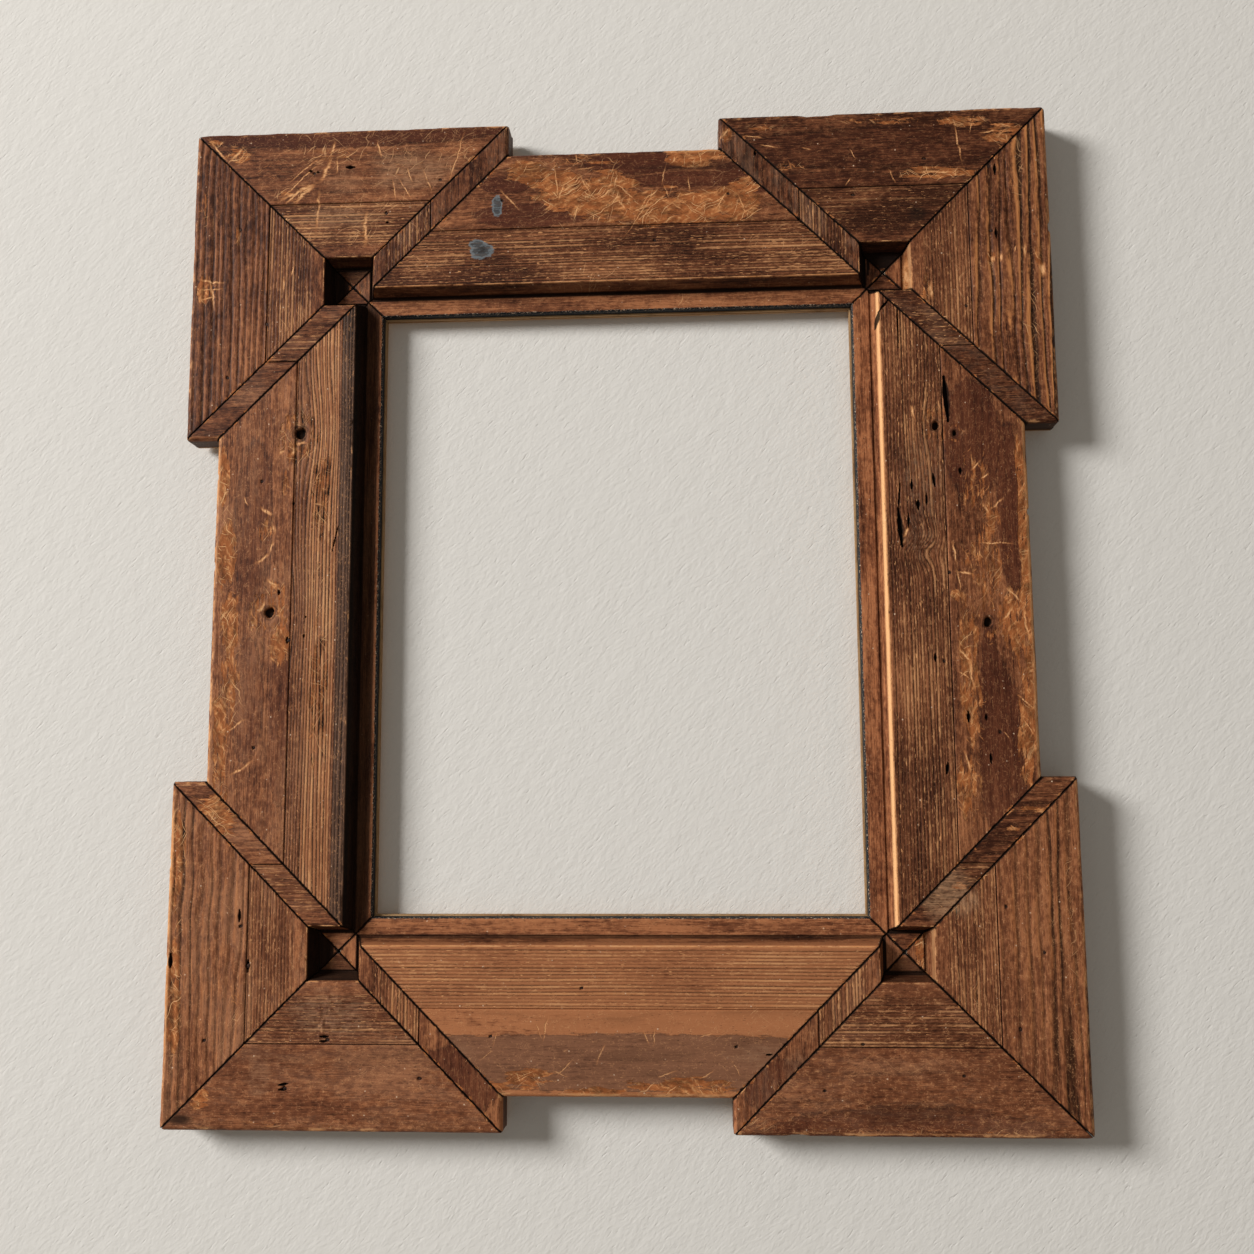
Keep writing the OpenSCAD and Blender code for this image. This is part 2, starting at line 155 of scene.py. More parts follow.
class MetalColours(bpy.types.PropertyGroup):
    steel: colour("Plated steel", "Dull plating on screws and hangers", 176, 174, 168)
    steel_dull: colour("Tarnish", "Tarnish on the plating", 118, 112, 102)
    iron: colour("Iron", "Old nail heads", 30, 22, 17)
    rust: colour("Rust", "Rust on the nail heads", 66, 36, 22)


class StageSettings(bpy.types.PropertyGroup):
    wall: colour("Wall", "Pale plaster behind the frame", 226, 222, 215)
    wall_gap: size("Wall gap", "Distance of the wall behind the back boards", 0.0049)
    wall_inset: size("Wall inset", "How far the wall reaches in behind the casing's edges", 0.008)
    key_power: power("Key light", "Power of the soft light from the upper left", 640)
    fill_power: power("Fill light", "Power of the wide front light", 1.0)
    back_power: power("Back light", "Power of the light on the frame's back", 26)
    ambient: FloatProperty(name="Ambient", description="Strength of the light from all round", default=0.21, min=0)


MM = 1000.0  # millimetres in a metre

# Angles in degrees from which edges stay sharp, and from which they are bevelled
CASING_SHARP, NAIL_SHARP, SCREW_SHARP, STRAP_SHARP, RING_SHARP, CORNER = 58, 50, 35, 40, 60, 50

# The casing's mesh in millimetres: how far the blank reaches past its mitres, and extra lines beside them
BEYOND_MITRE, LINES_BESIDE_MITRE = 1.5, (0.45, 1.1)
# Where the grain swirls and is gouged: x, z on the frame in millimetres
SWIRL, RAIL_GOUGE, EAR_GOUGE = (213, 38), (216, 32), (-190, -284)
# Plywood in millimetres: its thickness, and that of two of its layers
PLYWOOD, PLY_PAIR = 5.0, 3.3333

# The hardware in metres. A head's outline is given by shares of its radius and by depths below its top.
BOARD_EDGE = 0.0003
NAIL_SUNK, NAIL_HEAD_HEIGHT, NAIL_POINT = 0.0010, 0.0009, 0.0022
NAIL_DOME = [(0, 0), (0.35, 0.00003), (0.7, 0.00012), (0.92, 0.0003), (1, 0.00055)]
FLAT_HEAD = [(0, 0.0001), (0.85, 0.00008), (0.97, 0.00016), (1, 0.0004)]
FLAT_RECESS, PAN_RECESS, RECESS_WIDTH, RECESS_DEPTH, RECESS_ABOVE = 0.0042, 0.0040, 0.0010, 0.0011, 0.0005
THREAD_START, THREAD_END, THREAD_PITCH, THREAD_WIDTH, THREAD_ROOT = 0.0012, 0.0028, 0.0014, 0.0010, 0.78
STRAP_PLAY, STRAP_EDGE, ROLL_ANGLES, RING_BEND = 0.00004, 0.00018, (205, -95), 0.0012

# The stage in metres: half the wall's width, and each lamp's place and width. Lamps point at the middle.
WALL_REACH = 3.0
LAMPS = {"key": ((-5.7, -3.9, 2.4), 2.6), "fill": ((0.5, -2.2, 0.1), 2.4), "back": ((-1.0, 1.7, 0.5), 1.0)}
ROOM_LIGHT, ROOM_SEEN = (1.0, 0.93, 0.84, 1), (0.66, 0.64, 0.61, 1)
# The camera, as solved from the photograph
SENSOR, FOCAL_PIXELS, PHOTO_PIXELS = 36.0, 1255.66, 1254
EYE_PLACE = (0.05747, -0.89570, -0.12735)
EYE_RIGHT, EYE_AHEAD = (0.99835, 0.05708, -0.00555), (-0.05594, 0.99063, 0.12457)
EYE_UP = (0.01261, -0.12406, 0.99219)


def mm(value):
    return value * MM


# Seeded smooth noise over a plane, for the meshes


def lattice(i, j, seed):
    """A number from -1 to 1 for each whole place, hashed from the place and the seed."""
    n = (i.astype(np.int64) * 374761393 + j.astype(np.int64) * 668265263 + seed * 974634777) & 0xFFFFFFFF
    n = ((n ^ (n >> 13)) * 1274126177) & 0xFFFFFFFF
    n = n ^ (n >> 16)
    return (n & 0xFFFF) / 32767.5 - 1.0


def soft_noise(a, b, seed, octaves=1):
    """Smooth noise from -1 to 1 over cells of one unit."""
    total, weight, reach = 0.0, 1.0, 0.0
    a, b = np.broadcast_arrays(np.asarray(a, float), np.asarray(b, float))
    for octave in range(octaves):
        fa, fb = a * 2**octave + 17.3 * octave, b * 2**octave + 5.1 * octave
        ia, ib = np.floor(fa), np.floor(fb)
        ta, tb = fa - ia, fb - ib
        ta, tb = ta * ta * (3 - 2 * ta), tb * tb * (3 - 2 * tb)
        s = seed * 31 + octave
        low = lattice(ia, ib, s) * (1 - ta) + lattice(ia + 1, ib, s) * ta
        high = lattice(ia, ib + 1, s) * (1 - ta) + lattice(ia + 1, ib + 1, s) * ta
        total = total + weight * (low * (1 - tb) + high * tb)
        reach += weight
        weight *= 0.5
    return total / reach


def ease(value, low, high):
    """0 below low, 1 above high, and smooth between them."""
    t = np.clip((value - low) / (high - low), 0, 1)
    return t * t * (3 - 2 * t)


# Where each length of casing lies. Its own coordinates are the distance in from its outer edge, and the
# distance along it, in millimetres.


class Place:
    """Where a length of casing lies, given for the upper left quarter and mirrored for the others."""

    def __init__(self, origin, across, along, flip_x=False, flip_z=False):
        sign = Vector((-1 if flip_x else 1, -1 if flip_z else 1))
        self.origin, self.across, self.along = (Vector(v) * sign for v in (origin, across, along))

    def to_local(self, x, z):
        offset = Vector((x, z)) - self.origin
        return offset.dot(self.across), offset.dot(self.along)

    def to_frame(self, across, along):
        """Metres in the frame from arrays of millimetres on the piece."""
        x = self.origin.x + across * self.across.x + along * self.along.x
        z = self.origin.y + across * self.across.y + along * self.along.y
        return x / MM, z / MM


def corner_of(node):
    """Which ways a piece is mirrored."""
    return {"flip_x": "_right" in node, "flip_z": "_bottom" in node}


def place_of(node, z):
    """The place of a length of casing, and the lines that its mitres follow."""
    half = 0.5**0.5
    rail_x, rail_z, ear_x, ear_z = mm(z.rail_x), mm(z.rail_z), mm(z.ear_x), mm(z.ear_z)
    ear, out = mm(z.ear_length), mm(z.ear_x - z.rail_x)
    back = mm(z.joint_gap) * half
    flips = corner_of(node)
    if node.startswith("rail"):
        if node.endswith(("top", "bottom")):
            place, length = Place((0, rail_z), (0, -1), (1, 0), **flips), 2 * (ear_x - ear)
        else:
            place, length = Place((-rail_x, 0), (1, 0), (0, 1), **flips), 2 * (ear_z - ear)
        end = length / 2 - back
        top = length / 2 + ear - out - back
        cuts = [(d, s, reach * half) for d, reach in ((-half, end), (half, top)) for s in (half, -half)]
        reach = length / 2 + (ear - out) / 2
        return place, cuts, (-reach, reach)
    if node.endswith("across"):
        long, short = ((-ear_x, ear_z), (0, -1), (1, 0)), ((-ear_x + ear, ear_z), (-1, 0), (0, -1))
    else:
        long, short = ((-ear_x, ear_z), (1, 0), (0, -1)), ((-ear_x, ear_z - ear), (0, 1), (1, 0))
    if node.startswith("ear"):
        cuts = [(half, -half, -back * half), (half, half, (ear - back) * half)]
        return Place(*long, **flips), cuts, (0, ear)
    cuts = [(half, -half, -back * half), (-half, half, (out - back) * half), (half, half, (ear - back) * half)]
    return Place(*short, **flips), cuts, (0, (ear + out) / 2)


# What each length looks like, piece by piece as the photograph shows it


PLAIN = {
    # Growth rings outside the scored line: the pith's place, depth and taper for flames, spacing and relief
    "pith": (30, 16, 0.0), "spacing": 8.0, "relief": 0.10, "wander": 0.42,
    # How rubbed and scratched it is
    "rub": 0.30, "brushy": 0.3, "scratch": 0.25, "hairs": 0.12, "dashes": 0.9, "arris": 0.5, "edge": 0.5,
    # Its fine ridges: how bright, partly as painted highlight, from where to where, and how much lighter their stain
    # is; and how bright the painted highlight beside wide grooves is
    "crest": 0.35, "crest_ends": (58, 91), "crest_lift": 0.0, "ridge_end": 91, "ridge_light": 0.3,
    # Its stain, its groove lines partly painted shadow, and the upper step rubbed bare and lightened as painted
    # highlight
    "red": 1.0, "smoke": 0.0, "streaky": 0.8, "groove": 0.6, "valley": 1.0, "worm": 0.5, "fibrous": 0.75,
    "lip_tone": 0.06, "band": 0.0, "grey_tone": 0.30, "step_rub": 0.0,
    # Its dirt, and the painted shade in the quirk, in the step and on the lip
    "step_dirt": 0.35, "quirk_dirt": 0.85, "lip_dirt": 0.15, "score_dirt": 0.85,
}


def look(slot, tone, figure, seed, **changes):
    """One piece's finish. Figures are flame for arches, grooved for wide weathered ridges, straight for fine lines."""
    return SimpleNamespace(**{**PLAIN, **changes}, slot=slot, tone=tone, figure=figure, seed=seed)


LOOKS = {
    "rail_top": look(
        "stain_dark", 0.50, "flame", 11, pith=(30, 16, 0.02), rub=0.34, brushy=0.0, scratch=0.4, crest=0.35,
        crest_ends=(60, 99), ridge_end=99, arris=0.8, step_dirt=0.5, edge=0.25, valley=1.2, red=1.2, worm=0.8,
        dashes=0.75,
    ),
    "rail_bottom": look(
        "stain_worn", 0.92, "flame", 12, pith=(34, 30, -0.015), spacing=9, relief=0.08, crest=0.35,
        crest_ends=(59, 99), ridge_end=98, wander=0.12, arris=0.8, step_dirt=0.4, quirk_dirt=0.6, edge=0.35, rub=0.24,
        red=0.0, lip_tone=-0.28, streaky=0.9, valley=0.95, worm=1.1, score_dirt=0.35, dashes=0.6,
    ),
    "rail_left": look(
        "stain_brown", 0.60, "flame", 13, pith=(26, 20, 0.012), spacing=9, rub=0.34, brushy=0.25, hairs=0.2,
        crest=0.75, crest_ends=(69, 89), ridge_end=99, crest_lift=0.50, band=1.0, step_dirt=1.0, lip_dirt=0.68,
        dashes=1.0, arris=0.2, edge=0.8, red=0.55, streaky=0.75, valley=1.5, smoke=0.3, worm=1.1, score_dirt=0.6,
        wander=0.55,
    ),
    "rail_right": look(
        "stain_worn", 0.53, "flame", 14, pith=(30, 12, 0.03), spacing=7.5, relief=0.12, rub=0.36, brushy=0.4,
        scratch=0.05, hairs=0.12, crest=0.2, ridge_end=98, worm=0.8, step_dirt=0.0, step_rub=1.0, quirk_dirt=0.35,
        lip_dirt=0.0, arris=1.0, edge=1.0, valley=1.2, fibrous=0.65, grey_tone=0.10, dashes=1.0,
    ),
    "ear_top_left_across": look(
        "stain_dark", 0.50, "flame", 21, pith=(2, 14, 0.01), spacing=9, relief=0.08, rub=0.34, brushy=0.5,
        scratch=0.5, hairs=0.25, crest=0.5, step_dirt=0.6, lip_dirt=0.6, edge=0.5, red=1.2, worm=1.1, fibrous=0.55,
        grey_tone=0.45, dashes=1.0,
    ),
    "ear_top_left_upright": look(
        "stain_dark", 0.43, "grooved", 22, spacing=5.2, relief=0.55, rub=0.28, crest=0.25, step_dirt=1.0,
        lip_dirt=0.9, edge=0.5, ridge_light=0.6, groove=1.1, streaky=0.55,
    ),
    "ear_top_right_across": look(
        "stain_dark", 0.31, "flame", 23, pith=(28, 24, 0.02), spacing=11, relief=0.07, rub=0.28, brushy=0.2,
        hairs=0.05, crest=0.05, step_dirt=0.6, lip_dirt=0.9, edge=0.6, red=0.4, streaky=0.45, valley=0.5,
    ),
    "ear_top_right_upright": look(
        "stain_brown", 0.50, "grooved", 24, spacing=7.3, relief=0.95, rub=0.32, crest=0.1, ridge_light=1.3,
        step_rub=0.5, quirk_dirt=0.5, lip_dirt=0.2, edge=0.6, groove=2.2, streaky=0.5, worm=0.9,
    ),
    "ear_bottom_left_across": look(
        "stain_brown", 0.56, "flame", 25, pith=(30, 34, 0.01), spacing=14, relief=0.05, rub=0.24, brushy=0.5,
        hairs=0.2, crest=0.25, step_dirt=0.8, lip_dirt=0.5, edge=0.4, smoke=0.35, streaky=0.30, worm=1.2, valley=0.9,
        fibrous=0.45, wander=0.2,
    ),
    "ear_bottom_left_upright": look(
        "stain_brown", 0.62, "grooved", 26, spacing=6.4, relief=0.50, rub=0.26, crest=0.2, ridge_light=0.5,
        step_dirt=1.0, lip_dirt=0.9, edge=0.8, smoke=0.4, streaky=0.35, groove=1.1, worm=1.2, valley=0.9, fibrous=0.6,
    ),
    "ear_bottom_right_across": look(
        "stain_worn", 0.53, "flame", 27, pith=(4, 22, 0.0), spacing=15, relief=0.06, rub=0.26, brushy=0.6, hairs=0.25,
        crest=0.4, step_dirt=0.6, lip_dirt=0.5, edge=0.4, smoke=0.3, streaky=0.30, worm=1.2, valley=0.9, red=0.75,
        fibrous=0.45, wander=0.2,
    ),
    "ear_bottom_right_upright": look(
        "stain_brown", 0.56, "grooved", 28, spacing=7.8, relief=0.60, rub=0.26, crest=0.25, ridge_light=0.45,
        step_rub=0.4, quirk_dirt=0.5, lip_dirt=0.2, edge=0.8, streaky=0.30, groove=1.3, worm=1.2, fibrous=0.55,
        grey_tone=0.5,
    ),
    "return_top_left_across": look(
        "stain_dark", 0.42, "straight", 31, spacing=5, relief=0.08, rub=0.2, scratch=0.4, smoke=0.6, valley=0.6,
        streaky=0.6,
    ),
    "return_top_left_upright": look(
        "stain_brown", 0.44, "straight", 32, spacing=4, relief=0.12, rub=0.24, smoke=0.4, valley=0.3, streaky=0.6,
        crest=0.2,
    ),
    "return_top_right_across": look(
        "stain_dark", 0.36, "straight", 33, spacing=6, relief=0.16, rub=0.18, smoke=0.8, step_dirt=0.9, valley=0.6,
        streaky=0.7,
    ),
    "return_top_right_upright": look(
        "stain_dark", 0.33, "straight", 34, spacing=5, relief=0.08, rub=0.18, valley=0.15, crest=0.0, streaky=0.3,
        smoke=0.5,
    ),
    "return_bottom_left_across": look(
        "stain_brown", 0.62, "straight", 35, spacing=4.4, rub=0.2, crest=0.5, streaky=0.6,
    ),
    "return_bottom_left_upright": look(
        "stain_brown", 0.56, "straight", 36, spacing=9, relief=0.06, rub=0.3, crest=0.3, smoke=0.3, valley=0.6,
        streaky=0.6,
    ),
    "return_bottom_right_across": look(
        "stain_worn", 0.58, "straight", 37, spacing=5, relief=0.08, rub=0.24, smoke=0.4, crest=0.4, streaky=0.6,
        valley=0.8,
    ),
    "return_bottom_right_upright": look(
        "stain_brown", 0.36, "straight", 38, spacing=4.6, relief=0.16, rub=0.22, scratch=0.3, valley=0.6, crest=0.0,
        grey_tone=0.5,
    ),
}

# Nails, as distances across and along each piece, or from its other end where negative
NAILS = {
    "ear_top_left_across": [(34, 91), (67, -91), (42, -51)],
    "ear_top_right_across": [(38, 88), (64, -97), (40, -49)],
    "ear_bottom_left_across": [(29, 87), (61, 116), (36, -57)],
    "ear_bottom_right_across": [(40, 84), (60, -87), (30, -61)],
    "ear_top_left_upright": [(36, 76), (58, -87), (30, -47)],
    "ear_top_right_upright": [(42, 45), (42, 94), (62, -87)],
    "ear_bottom_left_upright": [(53, -100), (59, 110), (30, 60)],
    "ear_bottom_right_upright": [(46, 70), (52, -87), (28, -117)],
}
# Nails of the rails, along from the middle
RAIL_NAILS = {
    "rail_top": [(36, -82), (36, 84), (70, 30)],
    "rail_bottom": [(40, -86), (34, 80), (72, -24)],
    "rail_left": [(34, -100), (57, -24), (34, 92)],
    "rail_right": [(63, -44), (57, 18), (27, -93)],
}


def nails_of(node, z):
    """The nails of a piece, as distances across and along it."""
    ear = mm(z.ear_length)
    return [(d, s if s >= 0 else ear + s) for d, s in NAILS.get(node, [])] + RAIL_NAILS.get(node, [])


# Places below are x and z on the frame, in millimetres. Knots: x, z, radius
KNOTS = {
    "rail_left": [(-229, 127, 7.0), (-248, -4, 6.4)],
    "rail_right": [(258, -17, 5.2), (227, 123, 4.6), (240, 117, 2.8)],
}
# Splits and slots: x, z at each end, width
SPLITS = {
    "rail_left": [
        (-232, 76, -232, 74, 1.2), (-241, 12, -241, 9, 1.4), (-234, -22, -234, -26, 1.4), (-222, -20, -222, -22, 1.2),
        (-221, -7, -221, -8, 1.0), (-203, 40, -199, 58, 0.7),
    ],
    "rail_right": [
        (234, 158, 236, 126, 3.2), (201, 82, 199, 62, 1.0), (199, 64, 201, 37, 2.6), (213, 69, 213, 63, 2.0),
        (209, 84, 209, 76, 1.2), (219, 74, 219, 66, 1.2), (224, 88, 225, 79, 1.4), (206, 60, 206, 50, 1.2),
        (243, 92, 243, 88, 1.6), (242, -79, 242, -86, 1.8), (254, -81, 254, -85, 1.4), (256, -108, 256, -114, 1.5),
        (221, -39, 221, -44, 1.5), (227, -114, 226, -121, 1.6), (188, 197, 190, 208, 1.6), (190, 208, 197, 216, 1.2),
        (203, 216, 203, 180, 0.8),
    ],
    "ear_top_left_across": [
        (-199, 330, -193, 330, 1.8), (-227, 328, -225, 328, 1.6), (-221, 327, -220, 327, 1.4),
        (-169, 294, -168, 294, 1.4), (-168, 286, -167, 286, 1.4),
    ],
    "ear_top_right_upright": [(276, 316, 276, 308, 1.6), (275, 268, 275, 260, 1.5)],
    "ear_bottom_left_upright": [
        (-310, -242, -310, -251, 2.2), (-262, -212, -262, -220, 1.6), (-255, -246, -255, -254, 1.8),
    ],
    "ear_bottom_left_across": [
        (-203, -297, -198, -297, 1.4), (-203, -300, -199, -300, 1.4), (-231, -329, -225, -328, 1.6),
        (-231, -332, -226, -332, 1.5),
    ],
    "return_top_right_across": [(104, 332, 104, 329, 1.4), (185, 254, 185, 240, 1.2)],
    "rail_bottom": [(100, -307, 104, -307, 1.0)],
}
# Rubbed places: x, z, reach across, reach up, strength
RUBS = {
    "rail_top": [
        (-62, 321, 20, 11, 0.9), (-38, 308, 24, 19, 1.0), (-8, 301, 30, 23, 1.1), (26, 291, 36, 17, 1.0),
        (62, 291, 34, 15, 1.0), (90, 294, 20, 19, 1.1), (60, 329, 30, 9, 1.0), (-20, 328, 26, 5, 0.5),
    ],
    "rail_bottom": [
        (-60, -323, 22, 9, 0.9), (-92, -330, 26, 6, 1.0), (46, -328, 40, 8, 1.0), (-16, -332, 30, 4, 0.8),
        (14, -326, 14, 6, 0.6),
    ],
    "rail_left": [
        (-212, 80, 10, 46, 0.66), (-211, -64, 9, 62, 0.62), (-213, 22, 5, 14, 0.45), (-284, 98, 6, 36, 0.9),
        (-280, 40, 8, 36, 1.0), (-276, -8, 9, 28, 1.0), (-274, -52, 9, 26, 0.8), (-280, -96, 8, 46, 0.9),
        (-252, 56, 7, 14, 0.6), (-243, 6, 9, 16, 0.7), (-240, -27, 9, 18, 0.9), (-275, -82, 8, 14, 0.6),
        (-232, 112, 12, 12, 0.6), (-238, 92, 6, 16, 0.5),
    ],
    "rail_right": [
        (258, 26, 18, 40, 0.60), (262, 58, 8, 24, 0.7), (244, -52, 10, 70, 0.75), (285, 30, 5, 130, 1.1),
        (276, -20, 13, 34, 0.8), (282, -90, 8, 50, 0.9), (253, 76, 14, 34, 0.5), (237, 2, 5, 4, 1.0),
        (228, 133, 12, 8, 0.6), (240, -130, 10, 30, 0.7),
    ],
    "ear_top_left_across": [
        (-281, 342, 14, 10, 0.7), (-209, 340, 36, 8, 0.5), (-258, 330, 16, 8, 0.4), (-150, 332, 34, 14, 0.4),
        (-300, 352, 8, 4, 0.9), (-240, 308, 14, 8, 0.45), (-184, 282, 6, 16, 0.5),
    ],
    "ear_top_left_upright": [
        (-303, 238, 8, 16, 1.0), (-280, 279, 3, 12, 0.7), (-306, 300, 5, 26, 0.5), (-262, 250, 4, 18, 0.4),
    ],
    "ear_top_right_across": [
        (196, 352, 40, 3, 0.6), (252, 350, 24, 5, 0.8), (284, 340, 18, 10, 0.8), (236, 311, 34, 6, 0.75),
        (262, 306, 12, 8, 0.6), (129, 318, 12, 6, 0.5), (110, 350, 12, 4, 0.5),
    ],
    "ear_top_right_upright": [
        (211, 238, 3, 20, 1.1), (304, 246, 5, 12, 0.7), (271, 246, 4, 6, 0.9), (296, 200, 8, 40, 0.4),
        (290, 310, 8, 30, 0.3), (224, 220, 4, 16, 0.6),
    ],
    "ear_bottom_left_upright": [(-308, -178, 8, 40, 1.1), (-307, -270, 7, 54, 1.0), (-262, -275, 7, 14, 0.4)],
    "ear_bottom_left_across": [(-287, -338, 9, 12, 0.9), (-230, -355, 80, 3, 0.4)],
    "ear_bottom_right_across": [(200, -356, 110, 3, 0.45), (100, -352, 16, 5, 0.4)],
    "ear_bottom_right_upright": [
        (228, -211, 10, 6, 0.9), (206, -238, 5, 22, 0.9), (304, -250, 4, 90, 0.4), (240, -262, 4, 20, 0.4),
    ],
    "return_bottom_left_upright": [(-282, -147, 26, 22, 0.9)],
    "return_bottom_left_across": [(-150, -284, 6, 30, 0.4)],
    "return_top_right_across": [(84, 345, 5, 8, 0.8)],
    "return_bottom_right_upright": [
        (232, -196, 7, 4, 0.8), (282, -146, 14, 5, 0.8), (270, -158, 8, 3, 0.7), (222, -205, 20, 16, 0.35),
    ],
    "return_bottom_right_across": [(112, -330, 10, 8, 0.5)],
}
# Long rubbed strokes and scratches: x, z at each end, width
STROKES = {
    "ear_top_left_across": [
        (-251, 303, -219, 320, 2.6), (-239, 302, -222, 319, 2.9), (-220, 318, -211, 339, 2.7),
        (-211, 339, -209, 351, 2.2), (-219, 313, -220, 281, 2.1), (-207, 325, -206, 339, 1.4),
        (-242, 319, -221, 338, 1.1), (-250, 304, -218, 336, 1.0), (-183, 298, -184, 266, 2.4),
        (-176, 351, -173, 336, 1.3), (-165, 320, -161, 303, 1.3), (-142, 327, -135, 309, 1.3),
        (-110, 356, -123, 313, 1.0), (-306, 356, -289, 337, 1.6), (-288, 337, -276, 349, 2.2),
        (-160, 320, -149, 303, 1.1), (-154, 329, -149, 316, 1.0), (-245, 302, -233, 313, 1.3),
    ],
    "ear_top_left_upright": [
        (-279, 282, -280, 271, 1.8), (-244, 246, -245, 233, 1.7), (-310, 246, -287, 243, 2.0),
        (-309, 238, -289, 239, 1.4), (-308, 231, -294, 232, 1.4), (-299, 247, -296, 221, 2.0),
        (-237, 255, -239, 246, 1.0),
    ],
    "rail_top": [
        (-28, 335, -26, 325, 1.0), (-44, 330, -40, 297, 1.1), (-36, 313, -41, 297, 1.4), (-25, 320, -16, 300, 1.3),
        (2, 299, 10, 289, 1.4), (0, 312, 19, 295, 0.8), (39, 324, 35, 308, 1.0), (33, 308, 7, 268, 0.8),
        (36, 309, 41, 297, 0.8), (55, 314, 56, 302, 1.1), (63, 335, 65, 322, 1.1), (105, 292, 93, 284, 1.1),
        (85, 303, 73, 286, 1.2), (-84, 310, -68, 291, 1.3), (19, 288, 27, 303, 1.1), (41, 296, 52, 287, 1.1),
        (-68, 323, -55, 324, 1.0), (12, 287, 28, 293, 1.1), (-28, 323, -13, 324, 1.1), (91, 301, 97, 281, 1.1),
    ],
    "ear_top_right_across": [
        (248, 348, 253, 317, 1.3), (173, 309, 169, 303, 0.8), (172, 332, 177, 323, 0.7), (200, 315, 205, 304, 1.0),
        (261, 350, 259, 340, 0.7), (218, 312, 251, 311, 1.4), (265, 340, 281, 342, 1.0), (138, 334, 145, 332, 1.0),
        (95, 345, 110, 342, 1.2), (107, 337, 121, 333, 1.0),
    ],
    "ear_top_right_upright": [
        (270, 247, 271, 242, 2.3), (277, 249, 277, 242, 2.3), (211, 251, 212, 224, 4.2), (227, 229, 229, 216, 3.9),
        (305, 241, 307, 230, 3.9), (295, 257, 294, 243, 1.6), (289, 255, 287, 248, 1.2),
    ],
    "rail_right": [
        (258, 97, 250, 90, 1.4), (263, 88, 256, 84, 1.1), (272, 70, 262, 61, 1.5), (257, 67, 262, 58, 1.8),
        (235, 40, 238, 22, 1.7), (238, 22, 240, 2, 1.4), (252, 38, 278, 37, 1.3), (236, 19, 250, 16, 1.7),
        (269, 8, 284, -6, 1.4), (275, -6, 268, -17, 1.4), (282, -6, 285, -33, 1.7), (236, -35, 246, -46, 1.4),
        (243, -42, 246, -66, 2.0), (236, -51, 244, -57, 1.1), (275, -67, 287, -78, 1.1), (278, -82, 286, -96, 1.1),
        (265, -93, 269, -98, 1.1), (238, -104, 242, -122, 1.4), (202, 43, 206, 51, 2.0), (211, 138, 212, 127, 1.7),
    ],
    "rail_bottom": [
        (-51, -300, -47, -282, 1.0), (-56, -287, -50, -298, 0.8), (-84, -303, -82, -293, 0.9),
        (-93, -312, -84, -305, 0.8), (-14, -315, -8, -300, 1.1), (17, -292, 22, -301, 1.0), (24, -302, 26, -290, 0.8),
        (55, -297, 65, -293, 1.0), (-41, -322, -30, -311, 1.0), (-44, -318, -33, -323, 0.9),
        (-70, -326, -59, -321, 1.0), (25, -323, 40, -317, 1.2), (54, -323, 65, -317, 1.0), (83, -321, 76, -310, 0.8),
    ],
    "rail_left": [
        (-259, 31, -248, 39, 2.4), (-248, 39, -246, 48, 2.0), (-257, 73, -246, 67, 2.4), (-246, 67, -246, 52, 2.1),
        (-269, 81, -265, 74, 0.9), (-244, 112, -240, 115, 2.4), (-251, 20, -241, 15, 2.0), (-257, -5, -250, 5, 2.7),
        (-224, 121, -232, 118, 2.2), (-231, 118, -234, 110, 2.4), (-256, -109, -273, -120, 1.8),
        (-262, -80, -276, -88, 1.5),
    ],
}
# Places of thicker stain, with sharp outlines: x, z, reach across, reach up
DEEPS = {
    "ear_top_left_across": [(-198, 366, 160, 20)],
    "rail_top": [
        (14, 326, 36, 9), (-60, 288, 44, 9), (60, 312, 50, 6), (110, 314, 36, 14), (-30, 337, 60, 5),
        (-80, 312, 18, 7),
    ],
    "rail_left": [(-261, 60, 14, 62), (-262, -66, 12, 44), (-238, -80, 8, 60)],
    "rail_right": [(258, -38, 5, 18), (260, -66, 10, 30), (264, -112, 16, 62), (252, 112, 20, 44), (276, 62, 9, 60)],
    "ear_top_right_across": [(190, 332, 110, 15), (150, 306, 60, 8)],
    "ear_bottom_right_across": [(196, -370, 112, 30)],
    "rail_bottom": [(0, -313, 230, 19)],
    "return_bottom_left_across": [(-110, -326, 30, 24)],
    "return_bottom_right_across": [(110, -328, 26, 18)],
}
# Weathered grey places: x, z, reach across, reach up, strength
GREYS = {
    "rail_right": [(217, 84, 18, 40, 1.0), (213, 40, 16, 14, 0.8)],
    "ear_bottom_left_across": [(-197, -284, 30, 18, 0.7), (-245, -320, 9, 20, 0.5)],
    "return_bottom_right_upright": [(224, -203, 19, 19, 0.9)],
    "ear_bottom_right_upright": [(232, -206, 13, 12, 0.8)],
    "rail_top": [(-97, 262, 8, 8, 0.5)],
    "ear_top_left_across": [(-205, 291, 34, 10, 0.45), (-150, 326, 36, 18, 0.6), (-200, 318, 16, 12, 0.3)],
    "return_bottom_right_across": [(124, -316, 14, 14, 0.6)],
    "rail_bottom": [(-120, -306, 26, 10, 0.4), (96, -308, 26, 8, 0.5)],
}
# Blue stains: x, z, reach across, reach up
STAINS = {
    "rail_top": [(-97, 262, 9, 7), (-101, 267, 6, 4), (-86, 296, 4, 9)],
}
